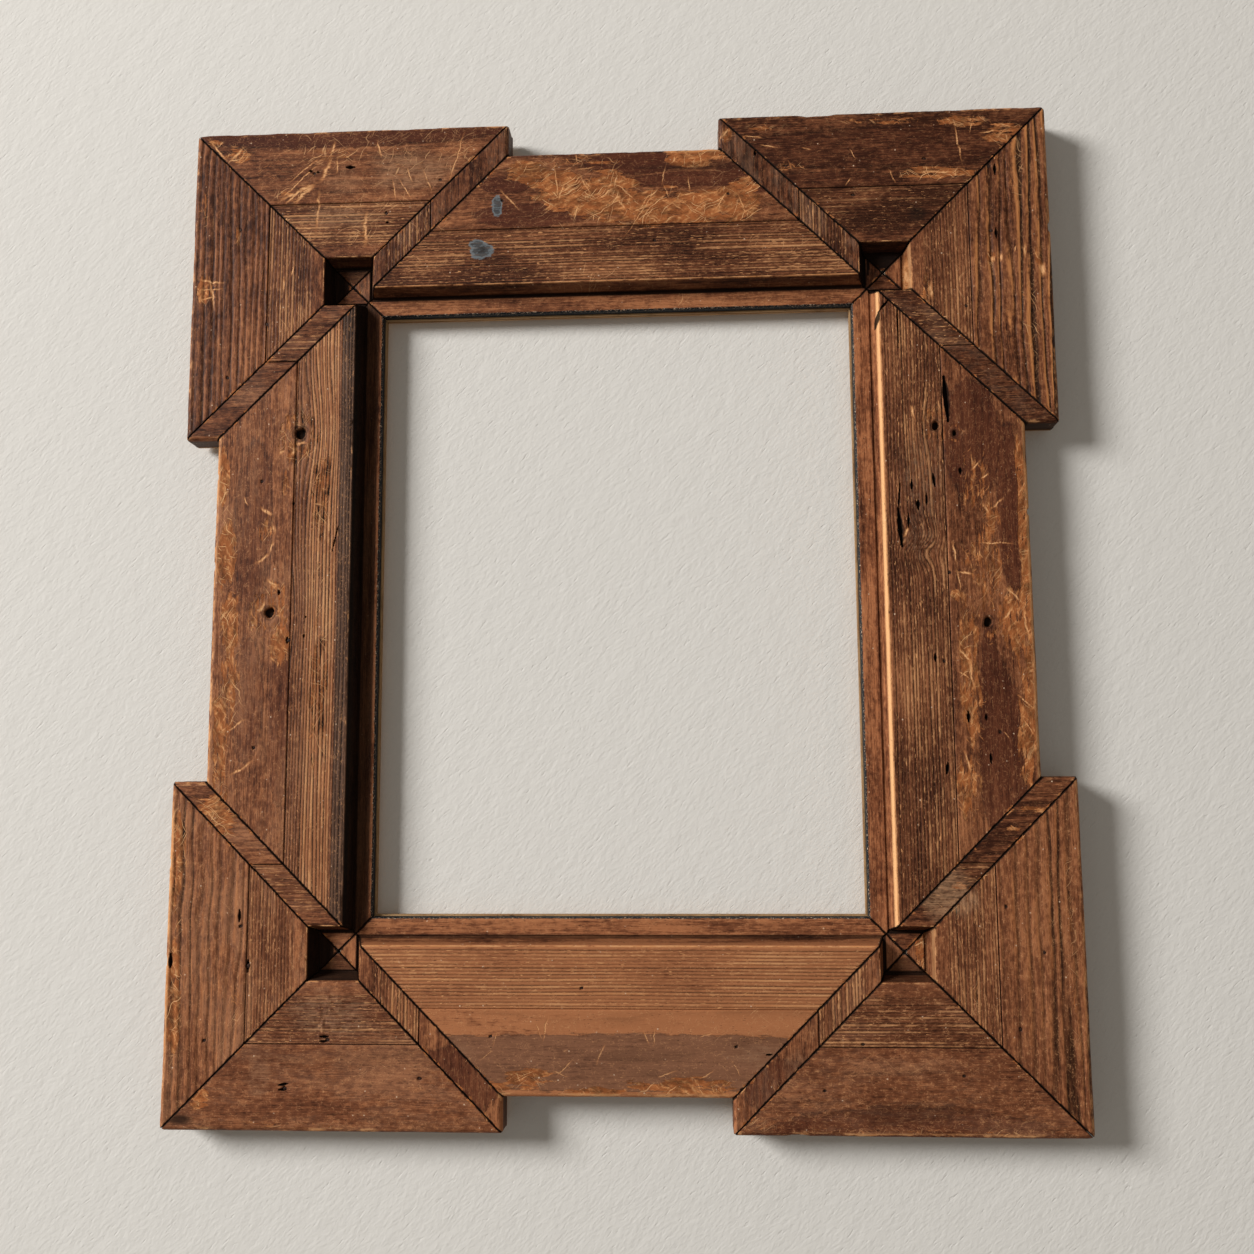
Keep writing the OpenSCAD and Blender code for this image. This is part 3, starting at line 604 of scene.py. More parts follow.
# Dark smudges: x, z, reach across, reach up, strength
SMUDGES = {
    "ear_top_right_across": [(219, 280, 9, 7, 0.6), (110, 322, 22, 12, 0.25)],
    "rail_right": [(208, 24, 16, 6, 0.35), (205, 100, 12, 14, 0.3)],
    "rail_top": [(-97, 262, 5, 4, 0.5), (-62, 320, 26, 10, 0.35), (60, 322, 60, 5, 0.4)],
    "rail_bottom": [(15, -308, 60, 6, 0.3)],
    "ear_bottom_left_across": [(-300, -352, 12, 5, 0.7)],
    "ear_bottom_right_across": [(190, -344, 60, 10, 0.35)],
    "return_top_right_across": [(100, 324, 12, 20, 0.35)],
}
# Bites out of the outer edge: x, z, depth, reach
BITES = {
    "ear_bottom_left_upright": [(-313, -247, 0.9, 4.0), (-313, -180, 1.0, 3.0)],
    "ear_top_right_across": [(150, 360, 1.6, 14.0)],
    "ear_top_right_upright": [(313, 268, 1.6, 5.0)],
    "rail_left": [(-289, 30, 1.2, 2.5), (-289, 96, 1.0, 3.0)],
    "rail_right": [(289, 60, 1.4, 3.0)],
    "ear_bottom_right_across": [(120, -359, 1.0, 8.0)],
}


def strokes_of(table, node, place):
    """A node's lines, each as its start and end in the piece's own coordinates, and its width."""
    return [(place.to_local(x0, z0), place.to_local(x1, z1), width) for x0, z0, x1, z1, width in table.get(node, [])]


def reaches(table, node, place, d, s):
    """How far each point is from each of a table's places, in the place's own reach, and the rest of its row."""
    for x, z, reach_x, reach_z, *rest in table.get(node, []):
        d0, s0 = place.to_local(x, z)
        reach_d = abs(place.across.x) * reach_x + abs(place.across.y) * reach_z
        reach_s = abs(place.along.x) * reach_x + abs(place.along.y) * reach_z
        yield np.sqrt(((d - d0) / reach_d) ** 2 + ((s - s0) / reach_s) ** 2), rest


def patches(table, node, place, d, s, seed):
    """The largest of a table's soft patches at each point, with ragged outlines."""
    total = np.zeros_like(d)
    ragged = 0.35 * soft_noise(d / 5, s / 14, seed, 3)
    for far, (strength,) in reaches(table, node, place, d, s):
        total = np.maximum(total, strength * (1 - ease(far + ragged, 0.45, 1.15)))
    return total


def cones(table, node, place, d, s):
    """How far inside a table's places each point lies: 0.5 on their outlines."""
    total = np.zeros_like(d)
    for far, _ in reaches(table, node, place, d, s):
        total = np.maximum(total, 0.5 + 1.5 * (1 - far))
    return np.clip(total, 0, 1)


def stroke_distance(d, s, start, end):
    """How far each point is from a line, and how far along it the nearest spot lies, from 0 to 1."""
    run = np.subtract(end, start)
    t = np.clip(((d - start[0]) * run[0] + (s - start[1]) * run[1]) / max(run @ run, 1e-9), 0, 1)
    return np.hypot(d - start[0] - t * run[0], s - start[1] - t * run[1]), t


def bell(value, middle, width):
    """1 in the middle, and less to both sides."""
    return np.exp(-(((value - middle) / width) ** 2))


# The casing's mesh. Lengths in this part are millimetres.


class Section:
    """The stations round the casing's section, each with its outward normal."""

    # Spacing of the stations on each part
    SIDE, FACE, FINE, STEP, QUIRK, LIP, SIGHT, BACK = 2.4, 0.9, 0.45, 1.5, 0.8, 1.0, 1.2, 24
    # Stations beside the scored line, and how much room the others leave them and each other
    SCORED, ROOM, LEAST = (-1.2, -0.7, -0.35, 0, 0.35, 0.7), 0.25, 0.38

    def __init__(self, z, fine_spots=()):
        self.face, self.back = mm(z.face_y), mm(z.back_y)
        self.lip = self.face + mm(z.step_depth)
        self.face_w, self.step_w = mm(z.face_width), mm(z.step_width)
        self.foot = self.face_w + self.step_w
        self.width = self.foot + mm(z.lip_width)
        self.score, self.band = mm(z.score_place), self.face_w - mm(z.band_width)
        self.quirk_end, quirk = self.foot + mm(z.quirk_width), self.lip + mm(z.quirk_depth)
        edge, lip_edge = mm(z.edge_round), mm(z.lip_round)
        slope = Vector((self.lip - self.face, -self.step_w)).normalized()
        self.stations = []
        self.run((0, self.back), (0, self.face + edge), self.SIDE, (-1, 0))
        self.turn((edge, self.face + edge), edge, 180, 6)
        self.stations += [(v, self.face, 0, -1) for v in self.face_stations(edge, mm(z.ridge_spacing) / 4, fine_spots)]
        self.stations.append((self.face_w - 0.4, self.face, 0.2, -0.98))
        self.stations.append((self.face_w, self.face, 0.75, -0.66))
        self.run((self.face_w + 0.12, self.face + 0.4), (self.foot, quirk), self.STEP, slope)
        self.run((self.foot, quirk), (self.quirk_end, quirk), self.QUIRK, (0, -1))
        self.stations.append((self.quirk_end, quirk, -0.6, -0.8))
        self.run((self.quirk_end, self.lip), (self.width - lip_edge, self.lip), self.LIP, (0, -1))
        self.turn((self.width - lip_edge, self.lip + lip_edge), lip_edge, 270, 5)
        self.run((self.width, self.lip + lip_edge), (self.width, self.back), self.SIGHT, (1, 0))
        self.run((self.width, self.back), (0, self.back), self.BACK, (0, 1))

    def face_stations(self, edge, ridge_step, fine_spots):
        """Places across the face, closer together on the ridges, at the scored line and at the fine spots."""
        end, beside = self.face_w - self.FACE, -self.SCORED[0]
        fixed = [edge, end, *(self.score + offset for offset in self.SCORED)]
        across = [*np.arange(edge, self.score - beside, self.FACE), *np.arange(self.score + beside, end, ridge_step)]
        for spot, reach in fine_spots:
            across += [v for v in np.arange(spot - reach, spot + reach + 0.1, self.FINE) if edge < v < end]
        kept = []
        for v in sorted(across):
            if min(abs(v - line) for line in fixed) > self.ROOM and (not kept or v - kept[-1] > self.LEAST):
                kept.append(v)
        return sorted(kept + fixed)

    def run(self, start, end, step, normal):
        """Stations in a straight line, without its end."""
        count = max(1, round(math.dist(start, end) / step))
        for k in range(count):
            t = k / count
            self.stations.append((start[0] + (end[0] - start[0]) * t, start[1] + (end[1] - start[1]) * t, *normal))

    def turn(self, centre, radius, angle, count):
        """Stations round a quarter of a circle, without its end."""
        for k in range(count):
            a = math.radians(angle + 90 * k / count)
            way = (math.cos(a), math.sin(a))
            self.stations.append((centre[0] + radius * way[0], centre[1] + radius * way[1], *way))


def lines_along(low, high, step, fine_spots):
    """Places of the mesh's lines along a piece, closer together round knots and splits."""
    fine_step, least = 0.6, 0.48
    lines = list(np.arange(low, high + step, step))
    for spot, reach in fine_spots:
        lines += list(np.arange(spot - reach, spot + reach + 0.1, fine_step))
    kept = []
    for value in sorted(v for v in lines if low <= v <= high + step):
        if not kept or value - kept[-1] > least:
            kept.append(value)
    return kept


def rough_blank(section, lines, cuts):
    """A straight length of casing, cut to its mitres, as a BMesh in the piece's own coordinates."""
    stations = np.array(section.stations)
    n, m = len(stations), len(lines)
    points = np.empty((m, n, 3))
    points[:, :, 0], points[:, :, 1] = stations[:, 0], stations[:, 1]
    points[:, :, 2] = np.array(lines)[:, None]
    i, j = np.meshgrid(np.arange(n), np.arange(m - 1))
    after = (i + 1) % n
    quads = np.stack([j * n + i, j * n + after, (j + 1) * n + after, (j + 1) * n + i], -1).reshape(-1, 4)
    mesh = bpy.data.meshes.new("blank")
    mesh.from_pydata(points.reshape(-1, 3).tolist(), [], quads.tolist())
    station = mesh.attributes.new("station", "FLOAT", "POINT")
    station.data.foreach_set("value", np.tile(np.arange(n, dtype=np.float32), m))
    bm = bmesh.new()
    bm.from_mesh(mesh)
    bpy.data.meshes.remove(mesh)

    def bisect(cut, inside, **how):
        normal = Vector((cut[0], 0, cut[1]))
        return bmesh.ops.bisect_plane(
            bm, geom=bm.verts[:] + bm.edges[:] + bm.faces[:], dist=1e-4,
            plane_co=normal * (cut[2] - inside), plane_no=normal, **how,
        )

    for cut in cuts:
        found = bisect(cut, 0, clear_outer=True)
        bmesh.ops.holes_fill(bm, edges=[e for e in found["geom_cut"] if isinstance(e, bmesh.types.BMEdge)])
    for cut in cuts:
        for inside in LINES_BESIDE_MITRE:
            bisect(cut, inside)
    return bm


class Weather:
    """How the surface of one length of casing has worn: what is carved away, and the masks of its finish.

    Points are given by d across the piece, y through it and s along it, with normals nd and ny.
    """

    def __init__(self, node, look, place, sizes):
        self.node, self.look, self.place, self.sizes = node, look, place, sizes
        self.knots = [(*place.to_local(x, z), radius) for x, z, radius in KNOTS.get(node, [])]
        self.splits = strokes_of(SPLITS, node, place)
        self.nails = nails_of(node, sizes)
        self.section = Section(sizes, self.fine_spots(0))

    def fine_spots(self, axis):
        """Where the mesh is closer, across the piece for axis 0 and along it for axis 1."""
        spots = [(knot[axis], (1.6, 2.0)[axis] * knot[2]) for knot in self.knots]
        spots += [(nail[axis], 2.4) for nail in self.nails]
        for start, end, width in self.splits:
            middle, reach = (start[axis] + end[axis]) / 2, abs(start[axis] - end[axis]) / 2
            spots.append((middle, min(reach, 18) + width + 0.6))
        return spots

    def corners(self):
        """Outer corners of the frame on this piece: the place along it, and the radius worn on it."""
        if self.node.startswith("ear"):
            return [(0, 4.4), (mm(self.sizes.ear_length), 2.4)]
        return [(0, 2.4)] if self.node.startswith("return") else []

    def noise(self, a, b, number, octaves=1):
        """The piece's own soft noise of this number."""
        return soft_noise(a, b, self.look.seed + number, octaves)

    def own(self, i, j):
        """A number from -1 to 1 of the piece's own."""
        return lattice(np.array([i]), np.array([j]), self.look.seed)[0]

    def carve(self, d, y, s, nd, ny, mitre):
        """Moved places across and through the piece, the growth rings, and the masks of the finish."""
        z = self.section
        self.d, self.y, self.s, self.mitre = d, y, s, mitre
        self.front, self.on_back = np.clip(-ny, 0, 1), y > z.back - 0.05
        self.face = self.front * (y < z.face + 0.05)
        self.score = np.clip(1 - np.abs(d - z.score) / (mm(self.sizes.score_width) / 2), 0, 1) * self.face
        self.count_rings()
        self.wear_face()
        self.wear_edges(nd, ny)
        self.open_mitres()
        self.rub = np.maximum(patches(RUBS, *self.where(), self.look.seed + 17), 0.9 * self.chipped)
        self.lay_dirt_and_shade()
        self.open_knots()
        self.open_splits()
        self.punch_nails()
        self.bite_edge()
        self.gouge()
        grey = patches(GREYS, *self.where(), self.look.seed + 18)
        marks = [np.clip(mask, 0, 1) for mask in (self.rub, self.grime_and_shade, grey, cones(STAINS, *self.where()))]
        return *self.moved(nd, ny), self.rings, cones(DEEPS, *self.where()), marks

    def where(self):
        """What the tables of places are read with."""
        return self.node, self.place, self.d, self.s

    def count_rings(self):
        """Growth rings crossed so far, counted across the piece."""
        z, look, s = self.section, self.look, self.s
        d = self.d + 0.6 * (self.y - z.face)
        push = np.zeros_like(d)
        for d0, s0, radius in self.knots:
            push -= (d - d0) * (0.85 * bell(np.hypot(d - d0, (s - s0) / 2.2), 0, 2.4 * radius))
        bend = 2.2 * self.noise(s / 150, d / 90, 1) + 0.5 * self.noise(s / 35, d / 22, 2, 2)
        across = d + push + bend
        if look.figure == "flame":
            pith_d, pith_h, taper = look.pith
            height = np.maximum(pith_h + taper * s + 5 * self.noise(s / 110, d / 200, 3), 0)
            outer = np.hypot(across - pith_d, height + 2.0 * self.noise(s / 28, d / 9, 4, 2)) / look.spacing
        else:
            wander = 0.36 * self.noise(d / 9, s / 170, 5, 2) + 0.09 * self.noise(d / 30, s / 24, 27, 2)
            outer = across / look.spacing + wander * (2 if look.figure == "grooved" else 1)
        inner = d + 0.18 * bend + push * 0.8 + 0.35 * self.noise(s / 70, d / 12, 6)
        inner = inner / mm(self.sizes.ridge_spacing)
        if self.node == "rail_right":
            d0, s0 = self.place.to_local(*SWIRL)
            swirl = np.exp(-(((d - d0) / 13) ** 2) - ((s - s0) / 11) ** 2)
            inner = inner + swirl * (s - s0 + 1.6 * np.sin((d - d0) / 3.2)) * 0.42
        self.rings = np.where(d < z.score, outer, inner + look.wander * self.noise(d / 4.5, s / 180, 7, 2))

    def wear_face(self):
        """Ridges inside the scored line, grooves outside it, slow waves, fine grain, and the line itself."""
        z, look, d, s = self.section, self.look, self.d, self.s
        line = np.abs(np.cos(math.pi * self.rings))
        ridged = ease(d, z.score + 0.3, z.score + 1.2) * (1 - ease(d, look.ridge_end - 0.6, look.ridge_end + 0.2))
        outer = (1 - ease(d, z.score - 0.8, z.score - 0.2)) * self.face
        groove = line**7 if look.figure == "grooved" else line**3
        lively = 0.75 + 0.45 * self.noise(s / 60, d / 14, 8, 2)
        depth = mm(self.sizes.ridge_depth) * ridged * self.face * line**2 * lively
        depth = depth + look.relief * outer * groove * lively * ease(d, 2, 6)
        depth = depth + 0.10 * self.front * (1 + self.noise(s / 70, d / 32, 9, 2))
        depth = depth + 0.05 * (1 + self.noise(s / 10, d / 0.9, 10)) * self.face
        self.depth = depth + mm(self.sizes.score_depth) * self.score

    def wear_edges(self, nd, ny):
        """Worn edges: the arris above the step, the outer arris, and the rim of the lip."""
        z, d, y, s = self.section, self.d, self.y, self.s
        arris = bell(d, z.face_w, 0.8) * (y < z.face + 1.5)
        chips = ease(self.noise(s / 7, d / 40, 12, 2), 0.25, 0.8)
        rounding = ((d < 3.2) & (y < z.face + 3.4)).astype(float) * ease(-ny - nd, 0.9, 1.3)
        worn = ease(self.noise(s / 16, 0.5, 13, 3), 0.0, 0.7)
        rim = ((d > z.width - 1.7) & (y < z.lip + 1.8)).astype(float)
        self.depth = self.depth + arris * (0.30 + 0.55 * chips) + rounding * (0.10 + 0.65 * worn)
        self.depth = self.depth + rim * (0.12 + 0.45 * ease(self.noise(s / 4, 0.5, 14, 2), 0.0, 0.8))

    def open_mitres(self):
        """A small chamfer at the mitres, with crumbled and chipped places."""
        d, s, mitre = self.d, self.s, self.mitre
        self.crumble = ease(self.noise((d + s) / 2.6, (d - s) / 2.6, 15, 2), 0.2, 0.8)
        near = np.clip(1 - mitre / (0.40 + 0.75 * self.crumble), 0, 1)
        self.depth = self.depth + self.front * near * (0.30 + 0.55 * self.crumble)
        chipped = ease(self.noise((d + s) / 5, (d - s) / 5, 29, 2), 0.20, 0.40)
        self.chipped = ((mitre > 0.3) & (mitre < 1.2)) * chipped

    def dirty(self, amount):
        """Raises the mask of grime and painted shade to an amount where it is less."""
        self.grime_and_shade = np.maximum(self.grime_and_shade, amount)

    def lay_dirt_and_shade(self):
        """Dirt in the mitres, the scored line and the smudges, and dirt with painted shade in the quirk, in the step
        and on the lip.
        """
        z, look, d, mitre = self.section, self.look, self.d, self.mitre
        self.grime_and_shade = np.maximum(0.95 * (mitre < 0.2), look.score_dirt * self.score)
        self.dirty((mitre < 0.6) * (0.80 + 0.2 * self.crumble))
        self.dirty((mitre < 1.2) * 0.85 * self.crumble)
        self.grime_and_shade = self.grime_and_shade * (1 - 0.8 * self.chipped * (mitre > 0.3))
        # The quirk, the step and the lip: dirt, and painted shade where the key light doesn't reach them
        self.dirty(look.quirk_dirt * ((d > z.foot - 0.7) & (d < z.quirk_end + 0.4)))
        self.dirty(look.step_dirt * ((d > z.face_w + 0.5) & (d <= z.foot - 0.7)))
        self.dirty((d > z.quirk_end) * look.lip_dirt * (1 - ease(d, z.width - 3.2, z.width - 1.8)))
        self.dirty(patches(SMUDGES, *self.where(), look.seed + 16))
        self.grime_and_shade = np.where(self.on_back, 0.7 * (mitre < 0.6), self.grime_and_shade)

    def open_knots(self):
        """Knots with a hole in the middle, a dark ring, and a rubbed place round them."""
        for d0, s0, radius in self.knots:
            far = np.hypot(self.d - d0, (self.s - s0) / 1.15)
            far = far * (1 + 0.30 * self.noise((self.d - d0) / 3.1 + 40, (self.s - s0) / 3.1, 20, 2))
            hole = 1 - ease(far, radius * 0.42, radius * 0.62)
            hollow = 0.35 * bell(far, 0, radius * 2.2)
            hollow = hollow + 0.25 * (1 - bell(far, radius * 1.15, radius * 0.45)) * (far < radius * 2)
            self.depth = self.depth + self.face * (3.2 * hole + hollow)
            self.dirty(np.maximum(hole, 0.55 * bell(far, radius * 0.75, 0.8)))
            self.rub = np.maximum(self.rub, 0.55 * bell(far, radius * 1.7, radius * 0.8))

    def open_splits(self):
        """Splits and slots, wider in the middle."""
        for start, end, width in self.splits:
            far, t = stroke_distance(self.d, self.s, start, end)
            wide = width / 2 * (0.30 + 0.85 * np.sin(math.pi * np.clip(t, 0.08, 0.92)))
            wide = wide * (1 + 0.3 * self.noise(self.s / 2.5, 1.5, 21))
            self.depth = self.depth + self.face * (1.2 + width) * (1 - ease(far, wide * 0.6, wide * 1.15))
            self.dirty(1 - ease(far, wide * 0.8, wide * 1.8))

    def punch_nails(self):
        """The holes above the nails."""
        for d0, s0 in self.nails:
            far = np.hypot(self.d - d0, (self.s - s0) * 0.8)
            far = far * (1 + 0.35 * self.noise((self.d - d0) / 1.1 + 30, (self.s - s0) / 1.1, 30))
            hole = 1 - ease(far, 0.6, 1.15)
            self.depth = self.depth + self.face * (1.2 * hole + 0.12 * bell(far, 0, 1.8))
            self.dirty(np.maximum(0.85 * hole, 0.30 * bell(far, 1.1, 0.6)))

    def bite_edge(self):
        """Bites out of the outer edge."""
        near_face = self.y < self.section.face + 9
        for x, z, bite, reach in BITES.get(self.node, []):
            far = np.abs(self.s - self.place.to_local(x, z)[1]) / reach
            bitten = bite * (1 - ease(far, 0.3, 1.0)) * (1 - ease(self.d, 0.0, bite * 1.6))
            self.depth = self.depth + bitten * near_face

    def gouge(self):
        """The two places with gouged fibres."""
        d, s = self.d, self.s
        if self.node == "rail_right":
            d0, s0 = self.place.to_local(*RAIL_GOUGE)
            gate = np.exp(-(((d - d0) / 17) ** 2) - ((s - s0) / 13) ** 2)
            waves = 0.5 + 0.35 * np.sin((s - s0) * 1.6 + 2.2 * self.noise(d / 7, s / 9, 23))
            self.depth = self.depth + self.face * gate * waves
        if self.node == "ear_bottom_left_across":
            d0, s0 = self.place.to_local(*EAR_GOUGE)
            gate = np.exp(-(((d - d0) / 16) ** 4) - ((s - s0) / 30) ** 4)
            self.depth = self.depth + self.face * gate * 0.45 * (self.noise(s / 1.9, d / 4.5, 24, 2) + 0.6)

    def moved(self, nd, ny):
        """Places after the wear. Each piece sits a little lower than the next, and its edges aren't quite straight."""
        z, d, y, s = self.section, self.d, self.y, self.s
        sunk = 0.05 + 0.28 * (0.5 + 0.5 * self.own(3, 7))
        lean = 0.12 * self.own(5, 2) * (d / z.width - 0.5)
        rise = np.clip((z.back - y) / (z.back - z.face), 0, 1)
        depth = np.where(self.on_back, 0, np.maximum(self.depth, 0))
        in_front = 1 - self.on_back
        edge_wave = 0.35 * (1 + self.noise(s / 48, 0.5, 25, 3)) * (1 - ease(d, 0, 9)) * in_front
        for end, radius in self.corners():
            blunt = np.clip(1 - np.abs(s - end) / radius, 0, 1) ** 2 * np.clip(1 - d / 40, 0, 1)
            edge_wave = edge_wave + 0.29 * radius * blunt
        lip_wave = 0.22 * (1 + self.noise(s / 30, 0.5, 26, 3)) * ease(d, z.width - 7, z.width)
        return d - nd * depth + edge_wave - lip_wave * in_front, y - ny * depth + rise * (sunk + lean)


def build_length(node, sizes):
    """The worn mesh of one length of casing, in the frame's own metres."""
    look = LOOKS[node]
    place, cuts, (low, high) = place_of(node, sizes)
    weather = Weather(node, look, place, sizes)
    section = weather.section
    lines = lines_along(low - BEYOND_MITRE, high + BEYOND_MITRE, mm(sizes.mesh_step), weather.fine_spots(1))
    bm = rough_blank(section, lines, cuts)
    mesh = bpy.data.meshes.new("casing_" + node)
    bm.to_mesh(mesh)
    count = len(mesh.vertices)
    co = np.empty(count * 3)
    mesh.vertices.foreach_get("co", co)
    d, y, s = co.reshape(-1, 3).T
    station = np.empty(count, np.float32)
    mesh.attributes["station"].data.foreach_get("value", station)
    table = np.array(section.stations)
    nd, ny = (np.interp(station, np.arange(len(table)), table[:, column]) for column in (2, 3))
    length = np.maximum(np.hypot(nd, ny), 1e-6)
    nd, ny = nd / length, ny / length
    mitre = np.min([reach - (cd * d + cs * s) for cd, cs, reach in cuts], axis=0)
    moved_d, moved_y, rings, deep, masks = weather.carve(d, y, s, nd, ny, mitre)

    # Points on a cut stay on it, drawn back a little where the joint has opened
    shift = moved_d - d
    moved_s = s.copy()
    for k, (cd, cs, reach) in enumerate(cuts):
        near = np.clip(1 - (reach - (cd * d + cs * s)) / 1.2, 0, 1)
        gape = 0.10 * (1 + weather.noise(d / 40, s / 60, 40 + k, 2))
        moved_s = moved_s + near * (-shift * cd / cs) - near * gape * np.sign(cs)
    x, z = place.to_frame(moved_d, moved_s)
    mesh.vertices.foreach_set("co", np.stack([x, moved_y / MM, z], -1).ravel())
    mesh.attributes.remove(mesh.attributes["station"])
    for name, values in (("rings", rings), ("deep", deep)):
        mesh.attributes.new(name, "FLOAT", "POINT").data.foreach_set("value", values.astype(np.float32))
    marks = mesh.attributes.new("marks", "FLOAT_COLOR", "POINT")
    marks.data.foreach_set("color", np.stack(masks, -1).astype(np.float32).ravel())
    bm.clear()
    bm.from_mesh(mesh)
    bmesh.ops.triangulate(bm, faces=[f for f in bm.faces if len(f.verts) > 4], ngon_method="EAR_CLIP")
    bmesh.ops.recalc_face_normals(bm, faces=bm.faces)
    bm.to_mesh(mesh)
    bm.free()
    return mesh, place, section


def sharpen(mesh, angle):
    """Smooth shading, with edges kept sharp where faces turn by more than the angle."""
    mesh.shade_smooth()
    mesh.set_sharp_from_angle(angle=math.radians(angle))


def add_piece(name, mesh, body, slot, nodes, material):
    """A named piece on a body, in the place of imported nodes."""
    piece = bpy.data.objects.new(name, mesh)
    bpy.context.scene.collection.objects.link(piece)
    mesh.materials.append(material)
    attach(piece, body)
    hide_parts(*nodes)
    return piece


# Materials: a small wrapper, so that shader maths reads as sums


class Value:
    """An output socket. Sums and products of these add Math nodes."""

    def __init__(self, paint, socket):
        self.paint, self.socket = paint, socket

    def __add__(self, other):
        return self.paint.math("ADD", self, other)

    def __radd__(self, other):
        return self.paint.math("ADD", other, self)

    def __sub__(self, other):
        return self.paint.math("SUBTRACT", self, other)

    def __rsub__(self, other):
        return self.paint.math("SUBTRACT", other, self)

    def __mul__(self, other):
        return self.paint.math("MULTIPLY", self, other)

    def __rmul__(self, other):
        return self.paint.math("MULTIPLY", other, self)

    def __truediv__(self, other):
        return self.paint.math("DIVIDE", self, other)

    def __pow__(self, other):
        return self.paint.math("POWER", self, other)


class Paint:
    """The nodes of one material, or of the world."""

    def __init__(self, owner):
        self.owner = owner
        owner.use_nodes = True
        self.tree = owner.node_tree
        self.tree.nodes.clear()

    def node(self, kind, settings, inputs, output=0):
        """Makes one node, and gives one of its outputs."""
        made = self.tree.nodes.new(kind)
        for name, value in settings.items():
            setattr(made, name, value)
        for key, value in inputs.items():
            socket = made.inputs[key]
            if isinstance(value, Value):
                self.tree.links.new(value.socket, socket)
            else:
                socket.default_value = value
        return Value(self, made.outputs[output]) if made.outputs else None

    def math(self, operation, first, second=0.0):
        return self.node("ShaderNodeMath", {"operation": operation}, {0: first, 1: second})

    def ease(self, value, low, high):
        """0 below low, 1 above high, and smooth between them."""
        settings = {"interpolation_type": "SMOOTHSTEP"}
        return self.node("ShaderNodeMapRange", settings, {"Value": value, "From Min": low, "From Max": high})

    def most(self, *values):
        """The largest of the values."""
        result = values[0]
        for value in values[1:]:
            result = self.math("MAXIMUM", result, value)
        return result

    def random(self, value):
        """A random number from 0 to 1 for each value."""
        return self.node("ShaderNodeTexWhiteNoise", {"noise_dimensions": "1D"}, {"W": value}, "Value")

    def attribute(self, name, output):
        return self.node("ShaderNodeAttribute", {"attribute_name": name}, {}, output)

    def spot(self):
        """The place on the object, in metres."""
        return self.node("ShaderNodeTexCoord", {}, {}, "Object")

    def dot(self, at, way):
        return self.node("ShaderNodeVectorMath", {"operation": "DOT_PRODUCT"}, {0: at, 1: way}, "Value")

    def through(self, at):
        return self.node("ShaderNodeSeparateXYZ", {}, {0: at}, "Y")

    def turned(self, at, angle):
        return self.node("ShaderNodeVectorRotate", {"rotation_type": "Y_AXIS"}, {"Vector": at, "Angle": angle})

    def blend(self, factor, under, over):
        """A colour between under and over."""
        settings = {"data_type": "RGBA"}
        return self.node("ShaderNodeMix", settings, {0: factor, 6: self.rgba(under), 7: self.rgba(over)}, 2)

    @staticmethod
    def rgba(value):
        return value if isinstance(value, Value) else (*tuple(value)[:3], 1.0)

    def darken(self, colour, factor):
        """A colour with its light multiplied by a value."""
        grey = self.node("ShaderNodeCombineColor", {}, {0: factor, 1: factor, 2: factor})
        settings = {"data_type": "RGBA", "blend_type": "MULTIPLY"}
        return self.node("ShaderNodeMix", settings, {0: 1.0, 6: self.rgba(colour), 7: grey}, 2)

    def noise(self, at, cells, detail=2.0, roughness=0.55, shift=(0, 0, 0)):
        """Noise from 0 to 1, with the length of its cells along each axis or along all three."""
        cells = cells if isinstance(cells, tuple) else (cells,) * 3
        settings = {"operation": "MULTIPLY_ADD"}
        stretched = self.node("ShaderNodeVectorMath", settings, {0: at, 1: tuple(1 / c for c in cells), 2: shift})
        inputs = {"Vector": stretched, "Scale": 1.0, "Detail": detail, "Roughness": roughness}
        return self.node("ShaderNodeTexNoise", {}, inputs)

    def surface(self, base, roughness, height, reach, metallic=0.0, specular=0.5):
        """The shader, fed by a colour, a roughness and a height that reaches so many metres."""
        bump = self.node("ShaderNodeBump", {}, {"Strength": 1.0, "Distance": reach, "Height": height})
        inputs = {"Base Color": base, "Roughness": roughness, "Normal": bump, "Metallic": metallic}
        return self.node("ShaderNodeBsdfPrincipled", {}, {**inputs, "Specular IOR Level": specular})

    def finish(self, *args, **kwargs):
        self.node("ShaderNodeOutputMaterial", {}, {"Surface": self.surface(*args, **kwargs)})
        return self.owner


def new_paint(name):
    return Paint(bpy.data.materials.new(name))


def piece_coordinates(paint, place):
    """Millimetres across, through and along a piece as one vector, and the first two as values."""
    spot = paint.spot()
    ways = (place.across, place.along)
    across, along = (paint.dot(spot, (way.x * MM, 0.0, way.y * MM)) - place.origin.dot(way) for way in ways)
    through = paint.through(spot) * MM
    return paint.node("ShaderNodeCombineXYZ", {}, {0: across, 1: through, 2: along}), across, through


def strokes_along(paint, at, angle, length, width, shift, detail=0.0):
    """Noise in long thin strokes, turned from the grain by an angle."""
    return paint.noise(paint.turned(at, angle), (width, 60, length), detail, 0.5, shift)


def hairlines(paint, at, angle, length, width, level, shift):
    """Fine scratches at an angle to the grain."""
    return paint.ease(strokes_along(paint, at, angle, length, width, shift), level, level + 0.04)


